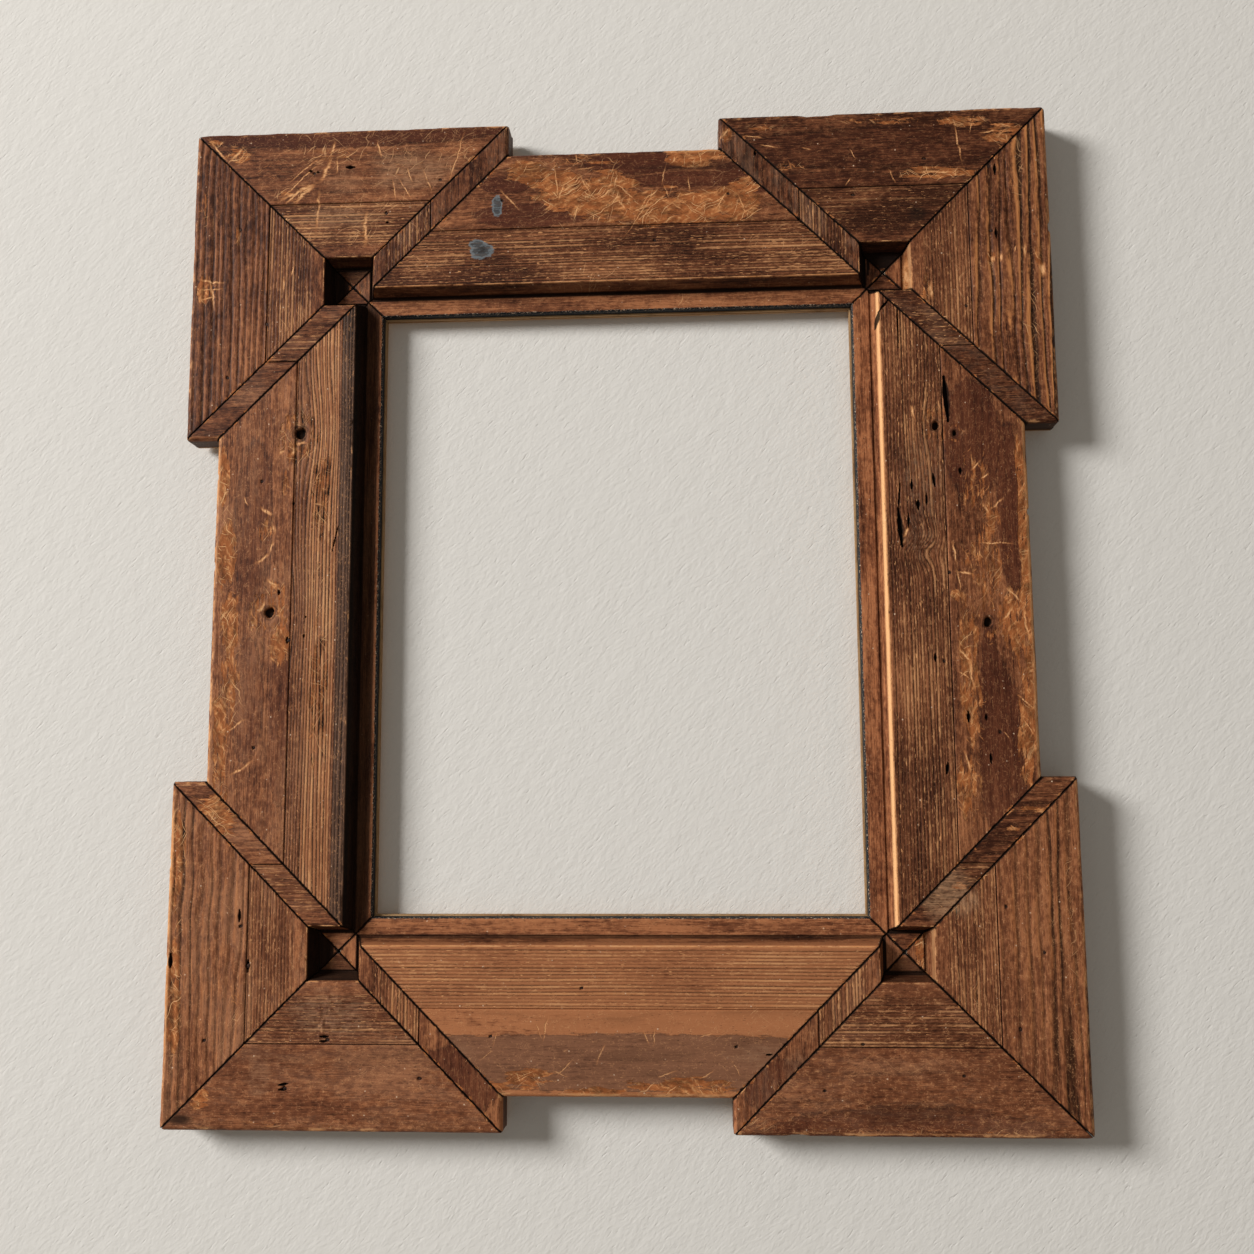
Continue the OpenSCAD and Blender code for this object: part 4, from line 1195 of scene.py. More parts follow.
def stroke(paint, at, start, end, width, ragged):
    """One rubbed stroke from start to end, ragged along its sides and fading at its ends."""
    start, run = Vector(start), Vector(end) - Vector(start)
    length, way = run.length, run.normalized()
    side = Vector((-way.y, way.x))
    ahead = paint.dot(at, (way.x / length, 0, way.y / length)) - start.dot(way) / length
    aside = paint.dot(at, (side.x, 0, side.y)) - start.dot(side) + (ragged - 0.5) * (width * 2.4 + 3.2)
    ends = paint.ease(ahead, -0.08, 0.40) * (1 - paint.ease(ahead, 0.60, 1.08))
    return (1 - paint.ease(paint.math("ABSOLUTE", aside), width * 0.12, width * 0.66)) * ends


class StainedWood:
    """The finish of one length of old stained softwood. Each step lays something more over its colour, body."""

    def __init__(self, node, place, look, section, wood):
        self.paint, self.look, self.section, self.wood = new_paint("wood_" + node), look, section, wood
        self.strokes = strokes_of(STROKES, node, place)
        self.read_piece(place)
        self.find_rings()
        self.stain_it()
        self.thicken_stain()
        self.smoke_it()
        self.brighten_crests()
        self.sweep_strokes()
        self.rub_places()
        self.scratch_it()
        self.mark_strokes()
        self.bare_edges()
        self.grey_and_blue()
        self.shade_side_and_finish_back()
        # Grime in joints, holes and cracks, and painted shade in the quirk, the step and on the lip
        self.dirt_and_shade = self.paint.ease(self.grime_and_shade + (self.mottle - 0.5) * 0.6 * self.grime_and_shade, 0.05, 0.90)
        self.lay(self.dirt_and_shade * 0.95, wood.grime_and_shade)
        self.fleck_and_edge()
        self.material = self.finish()

    def lay(self, factor, over):
        """Lays a colour over the body."""
        self.body = self.paint.blend(factor, self.body, over)

    def shade(self, factor):
        """Multiplies the body's light."""
        self.body = self.paint.darken(self.body, factor)

    def read_piece(self, place):
        """The piece's coordinates, the masks that its mesh carries, and the noises that the steps share."""
        paint, section, seed = self.paint, self.section, self.look.seed
        self.at, self.across, self.through = piece_coordinates(paint, place)
        at, across = self.at, self.across
        self.shift, self.swapped = (seed * 3.7, seed * 1.3, seed * 5.1), (seed * 5.1, seed * 3.7, seed * 1.3)
        self.rings, self.deep = paint.attribute("rings", "Fac"), paint.attribute("deep", "Fac")
        self.blue = paint.attribute("marks", "Alpha")
        marks = paint.attribute("marks", "Color")
        self.rub, self.grime_and_shade, self.grey = (paint.node("ShaderNodeSeparateColor", {}, {0: marks}, k) for k in range(3))
        self.blotch = paint.noise(at, (24, 24, 70), 3.0, 0.55, self.shift)
        self.streak = paint.noise(at, (2.4, 6, 70), 4.0, 0.60, self.shift)
        self.grain = paint.noise(at, (0.8, 2.0, 16), 3.0, 0.62, self.swapped)
        self.fibre = paint.noise(at, (0.45, 0.9, 4.5), 2.0, 0.55, self.shift)
        self.mottle = paint.noise(at, (3.4, 5, 5.5), 5.0, 0.68, self.swapped)
        self.ragged = paint.noise(at, (3.4, 8, 12), 6.0, 0.72, self.shift)
        self.rough = paint.noise(at, (2.6, 8, 17), 3.0, 0.6, self.swapped)
        self.inner = paint.ease(across, section.score - 0.4, section.score + 0.4)
        self.lip = paint.ease(across, section.face_w + 1.0, section.face_w + 2.0)
        self.step = paint.ease(across, section.face_w - 0.2, section.face_w + 0.3) * (1 - self.lip)

    def find_rings(self):
        """Growth rings: a slow darkening and a thin dark line for each, and the ridges that they leave."""
        paint, look, rings, streak = self.paint, self.look, self.rings, self.streak
        facing = paint.ease(self.across, look.ridge_end - 0.5, look.ridge_end + 0.5)
        self.line = line = paint.math("ABSOLUTE", paint.math("COSINE", rings * math.pi))
        self.saw = saw = paint.math("FRACT", rings)
        late = saw**2.2 * (1 - paint.ease(saw, 0.90, 1.0))
        self.unridged = 1 - facing
        self.ridged = self.inner * self.unridged
        self.plain = (1 - self.inner) * (1 - self.lip)
        fine_line = paint.math("ABSOLUTE", paint.math("COSINE", rings * math.pi * 2.0)) ** 4.0 * 0.45
        own_dark = paint.random(paint.math("FLOOR", rings + 0.5))
        self.own_light = paint.random(paint.math("FLOOR", rings) + 0.37)
        broken = 0.45 + 0.55 * paint.ease(self.grain * 0.5 + streak * 0.5, 0.36, 0.58)
        valley = self.ridged * (line**2.5 * (0.45 + own_dark * 0.65) + fine_line * 0.6) * broken * look.valley
        # In the wide grooves the dark line is partly the rings and partly painted shadow in the groove
        if look.figure == "grooved":
            edgeward = 1 - paint.ease(self.across, 18, 44) * 0.45
            broken = 0.45 + 0.55 * paint.ease(streak * 0.5 + self.blotch * 0.5, 0.42, 0.56)
            valley = valley + self.plain * line**5.5 * broken * (0.5 + own_dark * 0.5) * edgeward * look.groove
            valley = valley + self.plain * late * 0.10
        else:
            rings_show = paint.ease(self.blotch, 0.36, 0.60)
            valley = valley + self.plain * (line**5.0 * 0.16 + late * 0.30) * rings_show
        self.valley = valley

    def stain_it(self):
        """Stain from deep to thin, by how strong it is at each place: tone."""
        paint, look, wood, ridged = self.paint, self.look, self.wood, self.ridged
        low, high = look.crest_ends
        crested = paint.ease(self.across, low - 1.5, low + 2.5)
        self.crested = crested * (1 - paint.ease(self.across, high - 1.0, high + 1.0)) * self.inner
        fibrous = look.fibrous + ridged * (1 - look.fibrous)
        tone = look.tone + (self.blotch - 0.5) * (0.4 + 0.6 * look.streaky)
        tone = tone + (self.streak - 0.5) * (0.95 - ridged * 0.3) * look.streaky
        tone = tone + (self.grain - 0.5) * (1.05 - ridged * 0.3) * fibrous
        tone = tone + (self.fibre - 0.5) * 0.60 * fibrous + (self.mottle - 0.5) * (0.75 - ridged * 0.3)
        self.tone = tone = tone + self.lip * look.lip_tone + self.crested * look.crest_lift
        thin = paint.ease(tone, 0.05, 0.95)
        self.body = paint.blend(paint.ease(thin, 0.0, 0.55), wood.deep, wood.brown)
        self.lay(paint.ease(thin, 0.45, 1.0), wood.light)
        self.smoky = paint.darken(wood.weathered, 0.30 + tone * 0.75)

    def thicken_stain(self):
        """Places of thicker stain with sharp outlines: dark red on most pieces, smoky on others."""
        paint, look, wood, tone = self.paint, self.look, self.wood, self.tone
        cover = self.deep + (self.ragged - 0.5) * 0.60 + (self.rough - 0.5) * 0.40 + (self.grain - 0.5) * 0.30
        self.thick = paint.ease(cover, 0.46, 0.53) * (1 - self.inner * 0.6)
        outline = paint.ease(cover, 0.42, 0.50) * (1 - paint.ease(cover, 0.50, 0.58)) * (1 - self.inner * 0.6)
        if look.red > 0:
            self.lay(self.thick * min(1.0, 0.75 * look.red), paint.darken(wood.red, 0.36 + tone * 0.86))
        else:
            brown = paint.darken(wood.brown, 0.38 + tone * 0.62)
            self.lay(self.thick * 0.8, paint.blend(0.5, paint.darken(self.smoky, 0.74), brown))
        self.shade(1 - outline * 0.30)

    def smoke_it(self):
        """The greyed band beside the step, smoky places, dark valleys, partly painted shadow in the wide grooves, and
        the curled marks of a brushed finish.
        """
        paint, look, wood, section = self.paint, self.look, self.wood, self.section
        beside_step = paint.ease(self.across, section.band - 0.5, section.band + 0.5) * (1 - self.lip)
        self.lay(beside_step * look.band * 0.8, paint.darken(self.smoky, 0.50))
        self.lay(paint.ease(self.ragged * 0.5 + self.blotch * 0.6, 0.50, 0.64) * look.smoke * 0.7, self.smoky)
        self.shade(1.0 - paint.math("MINIMUM", self.valley * 0.72, 0.85))
        curl = paint.noise(self.at, (2.6, 6, 3.4), 1.0, 0.5, self.swapped)
        curl = 1 - paint.ease(paint.math("ABSOLUTE", curl - 0.5), 0.004, 0.030)
        self.curl = curl * paint.ease(self.fibre * 0.4 + self.mottle * 0.6, 0.44, 0.56)
        self.lay(self.curl * look.worm * 0.36, paint.blend(self.grain, wood.light, wood.tan))

    def brighten_crests(self):
        """Crests of the fine ridges lightened, partly rubbed wear and partly painted highlight, and painted highlights
        on the flanks beside wide grooves.
        """
        paint, look, wood, mottle = self.paint, self.look, self.wood, self.mottle
        crest = (1 - self.line**1.5) * self.crested * self.unridged
        dash = paint.noise(self.at, (1.5, 6, 8), 2.0, 0.6, self.shift)
        patchy = self.streak * 0.5 + dash * 0.5 + (self.blotch - 0.5) * 0.8 + (mottle - 0.5) * 0.5
        patchy = patchy + (self.own_light - 0.5) * 0.4 + (self.fibre - 0.5) * 0.3
        crest = crest * paint.ease(patchy, 0.56 - 0.20 * look.crest, 0.72 - 0.14 * look.crest)
        places = paint.ease(paint.noise(self.at, (14, 20, 34), 2.0, 0.6, self.swapped), 0.40, 0.56)
        crest = crest * (0.25 + 0.45 * look.crest + (0.75 - 0.45 * look.crest) * places)
        bright = paint.blend(paint.ease(self.grain, 0.25, 0.65), wood.amber, wood.tan)
        self.lay(crest * min(0.95, 0.35 + 0.50 * look.crest), bright)
        # Painted highlight beside each wide groove, where its flank would catch the light
        if look.figure == "grooved":
            beside = self.plain * paint.ease(self.saw, 0.10, 0.20) * (1 - paint.ease(self.saw, 0.26, 0.50))
            patchy = self.streak * 0.6 + mottle * 0.4 + (self.blotch - 0.5) * 0.8
            bar = 0.07 * look.ridge_light
            beside = beside * paint.ease(patchy, 0.50 - bar, 0.65 - bar) * look.ridge_light
            warm = paint.ease(self.grain + (look.ridge_light - 0.5) * 0.25, 0.25, 0.85)
            self.lay(beside * 0.7, paint.blend(warm, wood.rust, wood.amber))

    def sweep_strokes(self):
        """Brush like strokes, which fill the rubbed places."""
        paint, at = self.paint, self.at
        swirl = paint.node("ShaderNodeTexNoise", {}, {"Vector": at, "Scale": 0.08, "Detail": 1.0}, "Color")
        self.bent = paint.node("ShaderNodeVectorMath", {"operation": "MULTIPLY_ADD"}, {0: swirl, 1: (8, 0, 8), 2: at})
        kinds = ((0.30, 10, 1.35, self.shift), (-0.55, 8, 1.25, self.swapped), (1.15, 6, 1.20, self.shift))
        self.sweep = paint.most(*(strokes_along(paint, self.bent, *kind, 1.0) for kind in kinds))

    def rub_places(self):
        """Rubbed places, with ragged outlines."""
        paint, look, wood = self.paint, self.look, self.wood
        rub, ragged, grain, mottle = self.rub, self.ragged, self.grain, self.mottle
        wearing = rub + ((ragged - 0.5) * 1.1 + (self.rough - 0.5) * 1.9) * (0.40 + rub)
        wearing = wearing + (grain - 0.5) * 0.6 + (mottle - 0.5) * 0.9 * rub + (look.rub - 0.3) * 0.6
        bar = 0.44 + 0.26 * look.brushy
        self.rubbed = rubbed = paint.ease(wearing, bar, bar + 0.16)
        self.around = paint.ease(wearing, 0.12, 0.44) * (1 - rubbed)
        broad = strokes_along(paint, self.bent, 0.5, 9, 2.2, self.swapped, 2.0)
        warm = paint.ease(broad * 0.6 + self.sweep * 0.4 + (mottle - 0.5) * 0.5, 0.49, 0.70)
        amber = paint.blend(warm, wood.rust, wood.amber)
        amber = paint.blend(paint.ease(self.sweep + (broad - 0.5) * 0.6, 0.66, 0.84) * 0.5, amber, wood.tan)
        patchy = paint.noise(self.at, (5, 8, 11), 4.0, 0.65, self.shift)
        light = 1.10 - self.valley * (0.45 + self.ridged * 0.30)
        light = light - paint.ease(ragged * 0.6 + mottle * 0.4, 0.48, 0.62) * 0.34
        light = light - paint.ease(patchy, 0.38, 0.66) * 0.52
        amber = paint.darken(amber, light)
        self.shade(1 - paint.ease(wearing, bar - 0.10, bar) * (1 - rubbed) * 0.18)
        self.lay(rubbed * 0.94, amber)
        stray = self.around * paint.ease(self.sweep, 0.66, 0.76) * 0.60
        self.lay(stray, paint.blend(paint.ease(self.sweep, 0.68, 0.80), wood.rust, wood.amber))

    def scratch_it(self):
        """Hair scratches everywhere, and long ones where the piece has been knocked about."""
        paint, look, wood, shift, swapped = self.paint, self.look, self.wood, self.shift, self.swapped
        fine = ((0.45, 8, 0.80, 0.74, shift), (-0.55, 7, 0.75, 0.75, swapped), (1.35, 5, 0.80, 0.76, shift))
        hairs = paint.most(*(hairlines(paint, self.bent, *kind) for kind in fine))
        hairs = hairs * paint.ease(self.mottle + (self.blotch - 0.5) + self.rub * 0.3, 0.44, 0.58) * look.hairs
        self.hairs = hairs * (1 - self.inner * 0.8)
        more = 0.05 * look.scratch
        long = (
            (0.55, 22, 0.75, 0.752 - more, swapped), (-0.62, 18, 0.70, 0.762 - more, shift),
            (1.25, 12, 0.75, 0.772 - more, swapped),
        )
        scored = paint.most(*(hairlines(paint, self.bent, *kind) for kind in long))
        where = self.rub * 0.6 + (self.blotch - 0.5) * 1.2 + look.scratch * 0.7
        self.scored = scored * paint.ease(where, 0.20, 0.80)
        glint = paint.ease(paint.noise(self.at, (0.6, 0.9, 4.6), 0.0, 0.5, swapped), 0.75, 0.79)
        glint = glint * (0.25 + self.ridged * 0.75) * (1 - self.step)
        bright = paint.blend(self.fibre, wood.amber, wood.tan)
        self.lay(self.hairs * 0.70, bright)
        self.lay(self.scored * 0.80, wood.tan)
        self.lay(glint * 0.70, bright)

    def mark_strokes(self):
        """The piece's own rubbed strokes, bowed a little."""
        paint, wood, fibre = self.paint, self.wood, self.fibre
        self.dashed = 0.0
        if not self.strokes:
            return
        bowed = self.mottle * 0.45 + paint.noise(self.at, (12, 20, 14), 1.0, 0.5, self.swapped) * 0.55
        dashed = paint.most(*(stroke(paint, self.at, *ends_and_width, bowed) for ends_and_width in self.strokes))
        self.dashed = dashed = dashed * paint.ease(fibre * 0.5 + self.rough * 0.5, 0.34, 0.52)
        bright = paint.blend(paint.ease(fibre * 0.5 + dashed * 0.5, 0.40, 0.85), wood.amber, wood.tan)
        self.lay(dashed * self.look.dashes, bright)

    def bare_edges(self):
        """Edges rubbed to bare wood: the outer arris, the arris above the step, and the step itself, whose upper part
        is also lightened as painted highlight.
        """
        paint, look, wood, section = self.paint, self.look, self.wood, self.section
        corner = 1 - paint.ease(self.across, 1.5, 4.2)
        corner = corner * (1 - paint.ease(self.through, section.face + 1.2, section.face + 3.2))
        arris = 1 - paint.ease(paint.math("ABSOLUTE", self.across - section.face_w), 0.4, 1.1)
        arris = arris * (1 - paint.ease(self.through, section.face + 0.6, section.face + 1.6))
        worn = self.ragged + self.rub * 0.4
        bare = paint.most(
            corner * paint.ease(worn, 0.62 - 0.22 * look.edge, 0.72 - 0.16 * look.edge) * 0.8,
            arris * paint.ease(worn, 0.62 - 0.28 * look.arris, 0.70 - 0.24 * look.arris) * 0.85,
        )
        # The upper step: rubbed wear and painted highlight, set on the pieces whose step faces the light
        if look.step_rub > 0:
            foot = paint.ease(self.through + (self.mottle - 0.5) * 4, section.face + 8.5, section.face + 10.5)
            upper = self.step * (1 - foot)
            bare = paint.most(bare, upper * look.step_rub)
            self.grain = self.grain + upper * look.step_rub * 0.30
            self.lay(self.step * (1 - upper) * look.step_rub * 0.8, paint.blend(self.grain, wood.brown, wood.light))
        pale = paint.ease(self.grain * 0.6 + self.mottle * 0.4, 0.35, 0.65)
        self.lay(bare, paint.blend(pale, wood.amber, wood.tan))

    def grey_and_blue(self):
        """Weathered grey, blue stains and pores."""
        paint, look, wood, grain, mottle = self.paint, self.look, self.wood, self.grain, self.mottle
        greyed = paint.ease(mottle * 0.7 + grain * 0.5 + (look.grey_tone - 0.3) * 0.3, 0.45, 0.75)
        silver = paint.blend(look.grey_tone * 0.6, wood.weathered, wood.tan)
        self.lay(self.grey * greyed * 0.8, paint.darken(silver, look.grey_tone + grain * 0.5 + self.fibre * 0.3))
        spot = self.blue + (mottle - 0.5) * 1.3 + (self.ragged - 0.5) * 0.7
        heart = paint.ease(spot + (grain - 0.5) * 0.6, 0.85, 1.0)
        faded = paint.blend(heart, paint.darken(wood.sooty, 0.55 + mottle * 0.8), paint.darken(wood.sooty, 0.35))
        self.lay(paint.ease(spot, 0.46, 0.66) * 0.85, faded)
        self.pore = paint.ease(paint.noise(self.at, (0.6, 0.9, 2.6), 1.0, 0.5, self.swapped), 0.68, 0.75)
        self.shade(1.0 - self.pore * 0.5)

    def shade_side_and_finish_back(self):
        """The outer side, darkened nearly to black as painted shade over weathered wood, and the bare back with stain
        run over its edge.
        """
        paint, wood, section, streak = self.paint, self.wood, self.section, self.streak
        # Painted shade: the outer side darkened nearly to black
        side = 1 - paint.ease(self.across, 0.4, 1.2)
        side = side * paint.ease(self.through, section.face + 3.0, section.face + 5.0)
        self.lay(side * 0.75, paint.darken(wood.weathered, 0.06 + streak * 0.28))
        behind = paint.ease(self.through, section.back - 0.5, section.back - 0.1)
        run_over = paint.ease(self.ragged * 26 + streak * 8 - self.across, 8, 12)
        figure = paint.ease(streak * 0.5 + self.grain * 0.5 + (self.blotch - 0.5) * 0.5, 0.36, 0.68)
        bare_back = paint.blend(figure, wood.ply_deep, wood.ply)
        bare_back = paint.blend(paint.ease(self.line, 0.75, 0.98) * 0.55, bare_back, wood.light)
        stained = paint.darken(wood.brown, 0.7)
        self.lay(behind, paint.blend(run_over * 0.85, paint.darken(bare_back, 0.72), stained))

    def fleck_and_edge(self):
        """Flecks of pale paint, and the painted edge of the lip."""
        paint, wood, section = self.paint, self.wood, self.section
        cells = paint.node(
            "ShaderNodeTexVoronoi", {}, {"Vector": self.at, "Scale": 0.16, "Randomness": 1.0}, "Distance",
        )
        fleck = (1 - paint.ease(cells, 0.06, 0.11)) * paint.ease(self.mottle, 0.50, 0.56)
        pale = paint.blend(self.fibre, wood.tan, wood.fleck)
        self.lay(fleck * (1 - self.dirt_and_shade) * 0.75, pale)
        crumbs = paint.noise(self.at, (0.7, 0.7, 1.6), 3.0, 0.65, self.shift)
        self.edge = paint.ease(self.across + (crumbs - 0.5) * 2.2, section.width - 1.5, section.width - 1.1)
        rim = paint.ease(self.across, section.width - 0.6, section.width - 0.1)
        self.speck = paint.ease(crumbs, 0.56, 0.62) * (1 - rim)
        self.lay(self.edge, paint.blend(self.speck * 0.8, wood.sight_paint, pale))

    def finish(self):
        """The material, with its roughness and its relief."""
        grain, rubbed, speck, edge = self.grain, self.rubbed, self.speck, self.edge
        roughness = 0.54 + rubbed * 0.14 + (grain - 0.5) * 0.2 + self.dirt_and_shade * 0.25 - edge * 0.10
        height = grain * 0.10 + self.fibre * 0.05 + self.streak * 0.05 - self.pore * 0.12 - self.scored * 0.14
        height = height - self.dashed * 0.12 - self.hairs * 0.05 + self.sweep * (rubbed + self.around * 0.5) * 0.14
        height = height - rubbed * 0.10 + self.mottle * 0.06 + self.thick * 0.06 + speck * edge * 0.2
        height = height + self.curl * 0.05 * self.look.worm
        return self.paint.finish(self.body, roughness, height, 0.001, specular=0.11)


def casing_operator(kind):
    """Builds every length of casing of a kind."""
    settings = bpy.context.scene
    for node in (name for name in LOOKS if name.startswith(kind)):
        mesh, place, section = build_length(node, settings.frame_sizes)
        sharpen(mesh, CASING_SHARP)
        material = StainedWood(node, place, LOOKS[node], section, settings.wood_colours).material
        add_piece("casing_" + node, mesh, "frame", LOOKS[node].slot, [node], material)
    return {"FINISHED"}


class FRAME_OT_rails(bpy.types.Operator):
    """Builds the four rails between the ears"""

    bl_idname = "frame.rails"
    bl_label = "Rails"

    def execute(self, context):
        return casing_operator("rail")


class FRAME_OT_ears(bpy.types.Operator):
    """Builds the eight long pieces of the ears"""

    bl_idname = "frame.ears"
    bl_label = "Ears"

    def execute(self, context):
        return casing_operator("ear")


class FRAME_OT_returns(bpy.types.Operator):
    """Builds the eight short returns beside the ears"""

    bl_idname = "frame.returns"
    bl_label = "Returns"

    def execute(self, context):
        return casing_operator("return")


# Back boards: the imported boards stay, with plywood laid over them


def plywood(name, along_z, wood):
    """Bare plywood, its face grain along one axis and its layers showing on the edges."""
    paint = new_paint(name)

    def figured(cells, detail, roughness):
        return paint.noise(at, cells if along_z else cells[::-1], detail, roughness)

    at = paint.node("ShaderNodeVectorMath", {"operation": "SCALE"}, {0: paint.spot(), "Scale": MM})
    fibre = figured((1.2, 2, 22), 3.0, 0.6)
    spots = paint.noise(at, 18, 5.0, 0.7)
    figure = paint.math("FRACT", figured((46, 8, 300), 3.0, 0.45) * 11.0 + (fibre - 0.5) * 0.25)
    figure = paint.ease(figure, 0.10, 0.90) * (1 - paint.ease(figure, 0.92, 1.0))
    base = paint.blend(paint.ease(fibre * 0.7 + figure * 0.26 + spots * 0.2, 0.30, 0.95), wood.ply, wood.ply_deep)
    base = paint.darken(base, 0.78 + paint.noise(at, (120, 30, 120), 3.0, 0.6) * 0.36)
    through = paint.through(at)
    layer = paint.math("FRACT", (through + PLYWOOD) / PLY_PAIR)
    layer = paint.ease(layer, 0.46, 0.54) * (1 - paint.ease(through, -0.3, -0.05))
    layer = layer * paint.ease(through, 0.05 - PLYWOOD, 0.3 - PLYWOOD)
    base = paint.blend(layer * 0.7, base, paint.darken(wood.ply_deep, 0.55))
    dirty = paint.ease(spots, 0.50, 0.72)
    base = paint.darken(base, 1.0 - dirty * 0.35)
    pore = paint.ease(figured((0.7, 0.9, 4), 1.0, 0.5), 0.66, 0.72)
    base = paint.darken(base, 1.0 - pore * 0.4)
    return paint.finish(base, 0.72 + dirty * 0.1, fibre * 0.12 - pore * 0.15, 0.001, specular=0.2)


class FRAME_OT_back_boards(bpy.types.Operator):
    """Finishes the four back boards"""

    bl_idname = "frame.back_boards"
    bl_label = "Back boards"

    def execute(self, context):
        for side in ("top", "bottom", "left", "right"):
            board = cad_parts["backing_" + side]
            board.data.materials.clear()
            along_z = side in ("left", "right")
            board.data.materials.append(plywood("plywood_" + side, along_z, context.scene.wood_colours))
            soften = board.modifiers.new("worn_edges", "BEVEL")
            soften.width, soften.segments = BOARD_EDGE, 2
            soften.limit_method, soften.angle_limit = "ANGLE", math.radians(CORNER)
        return {"FINISHED"}


# Nails, screws and hangers. Lengths in this part are metres.


def spots_of_nails(sizes):
    for node in LOOKS:
        place = place_of(node, sizes)[0]
        for d, s in nails_of(node, sizes):
            yield place.to_frame(d, s)


def spots_of_screws(sizes, metal):
    """Where the screws go in from the back: two for an ear, one for a return, three for a rail."""
    ear, out = mm(sizes.ear_length), mm(sizes.ear_x - sizes.rail_x)
    inset, gap, short = mm(metal.screw_inset), mm(metal.screw_gap), mm(metal.return_screw_inset)
    for node in LOOKS:
        place = place_of(node, sizes)[0]
        if node.startswith("rail"):
            spots = [(inset, -gap), (inset, 0), (inset, gap)]
        elif node.startswith("ear"):
            spots = [(inset, ear / 2 - gap / 2), (inset, ear / 2 + gap / 2)]
        else:
            spots = [(short, short + out / 2)]
        for d, s in spots:
            yield place.to_frame(d, s)


def skin(bm, rings):
    """Faces between each ring of vertices and the next. A ring of one vertex is a point."""
    for low, high in zip(rings, rings[1:]):
        sides = max(len(low), len(high))
        for k in range(sides):
            after = (k + 1) % sides
            corners = (low[k % len(low)], high[k % len(high)], high[after % len(high)], low[after % len(low)])
            bm.faces.new(tuple(dict.fromkeys(corners)))


def outward(bm):
    """Turns the faces of a closed mesh outwards."""
    bmesh.ops.recalc_face_normals(bm, faces=bm.faces)


def turned(outline, sides, waver=0.0, seed=1):
    """A closed solid of revolution on the Y axis, from [radius, y], as a BMesh."""
    bm = bmesh.new()
    rings = []
    for radius, y in outline:
        ring = []
        for k in range(sides if radius else 1):
            a = 2 * math.pi * k / sides
            r = radius * (1 + waver * float(soft_noise(2.2 * math.cos(a) + 9, 2.2 * math.sin(a) + y * 900, seed)))
            ring.append(bm.verts.new((r * math.cos(a), y, r * math.sin(a))))
        rings.append(ring)
    skin(bm, rings)
    outward(bm)
    return bm


def mesh_of(bm, name):
    """A mesh from a BMesh, which is freed."""
    mesh = bpy.data.meshes.new(name)
    bm.to_mesh(mesh)
    bm.free()
    return mesh


def cross_cut(mesh, top, half_length):
    """Cuts a tapered cross recess into a screw's head, down from its top."""
    blades = bmesh.new()
    for turn in (0, math.pi / 2):
        rings = []
        for y, longer, wider in ((top + RECESS_ABOVE, 1.1, 1.15), (top - RECESS_DEPTH, 0.45, 0.7)):
            rings.append([])
            for a, b in ((-1, -1), (1, -1), (1, 1), (-1, 1)):
                x, z = a * half_length * longer, b * RECESS_WIDTH / 2 * wider
                spot = (x * math.cos(turn) - z * math.sin(turn), y, x * math.sin(turn) + z * math.cos(turn))
                rings[-1].append(blades.verts.new(spot))
        blades.faces.new(rings[0])
        blades.faces.new(rings[1][::-1])
        skin(blades, rings)
    outward(blades)
    cutter = bpy.data.objects.new("cutter", mesh_of(blades, "cutter"))
    blank = bpy.data.objects.new("blank", mesh)
    for made in (cutter, blank):
        bpy.context.scene.collection.objects.link(made)
    cut = blank.modifiers.new("cross", "BOOLEAN")
    cut.object, cut.operation, cut.solver, cut.use_self = cutter, "DIFFERENCE", "EXACT", True
    evaluated = blank.evaluated_get(bpy.context.evaluated_depsgraph_get())
    made = bpy.data.meshes.new_from_object(evaluated)
    for used in (cutter, blank):
        bpy.data.objects.remove(used)
    return made


def scatter(templates, spots, name, seed):
    """One mesh with a template at each spot, each turned at random about Y."""
    bm = bmesh.new()
    picks = np.random.default_rng(seed)
    for x, z in spots:
        template = templates[int(picks.integers(len(templates)))]
        before = len(bm.verts)
        bm.from_mesh(template)
        picks.uniform(size=2)  # two unused draws, which keep the turns the same
        move = Matrix.Translation((x, 0, z)) @ Matrix.Rotation(picks.uniform(0, 2 * math.pi), 4, "Y")
        bmesh.ops.transform(bm, matrix=move, verts=bm.verts[before:])
    return mesh_of(bm, name)


def steel(name, colours):
    """Dull plating with tarnish and a few specks of rust."""
    paint = new_paint(name)
    spot = paint.spot()
    cloud, fine = paint.noise(spot, 0.004, 4.0, 0.6), paint.noise(spot, 0.0005, 2.0, 0.6)
    spotty = paint.ease(paint.noise(spot, 0.0011, 3.0, 0.6), 0.62, 0.72)
    dull = paint.ease(cloud * 0.7 + fine * 0.3, 0.40, 0.64)
    base = paint.blend(spotty * 0.6, paint.blend(dull, colours.steel, colours.steel_dull), colours.rust)
    roughness = 0.32 + dull * 0.25 + (fine - 0.5) * 0.12 + spotty * 0.2
    return paint.finish(base, roughness, fine, 0.00005, 0.9 - spotty * 0.6)


def old_iron(name, colours):
    """Dark iron, rusted in places."""
    paint = new_paint(name)
    spot = paint.spot()
    scale, fine = paint.noise(spot, 0.0012, 4.0, 0.7), paint.noise(spot, 0.0003, 2.0, 0.6)
    rust = paint.ease(scale * 0.7 + fine * 0.3, 0.40, 0.60)
    base = paint.darken(paint.blend(rust, colours.iron, colours.rust), 0.5 + fine)
    return paint.finish(base, 0.55 + rust * 0.25, scale * 0.6 + fine * 0.4, 0.0003, 0.6 - rust * 0.5, 0.4)


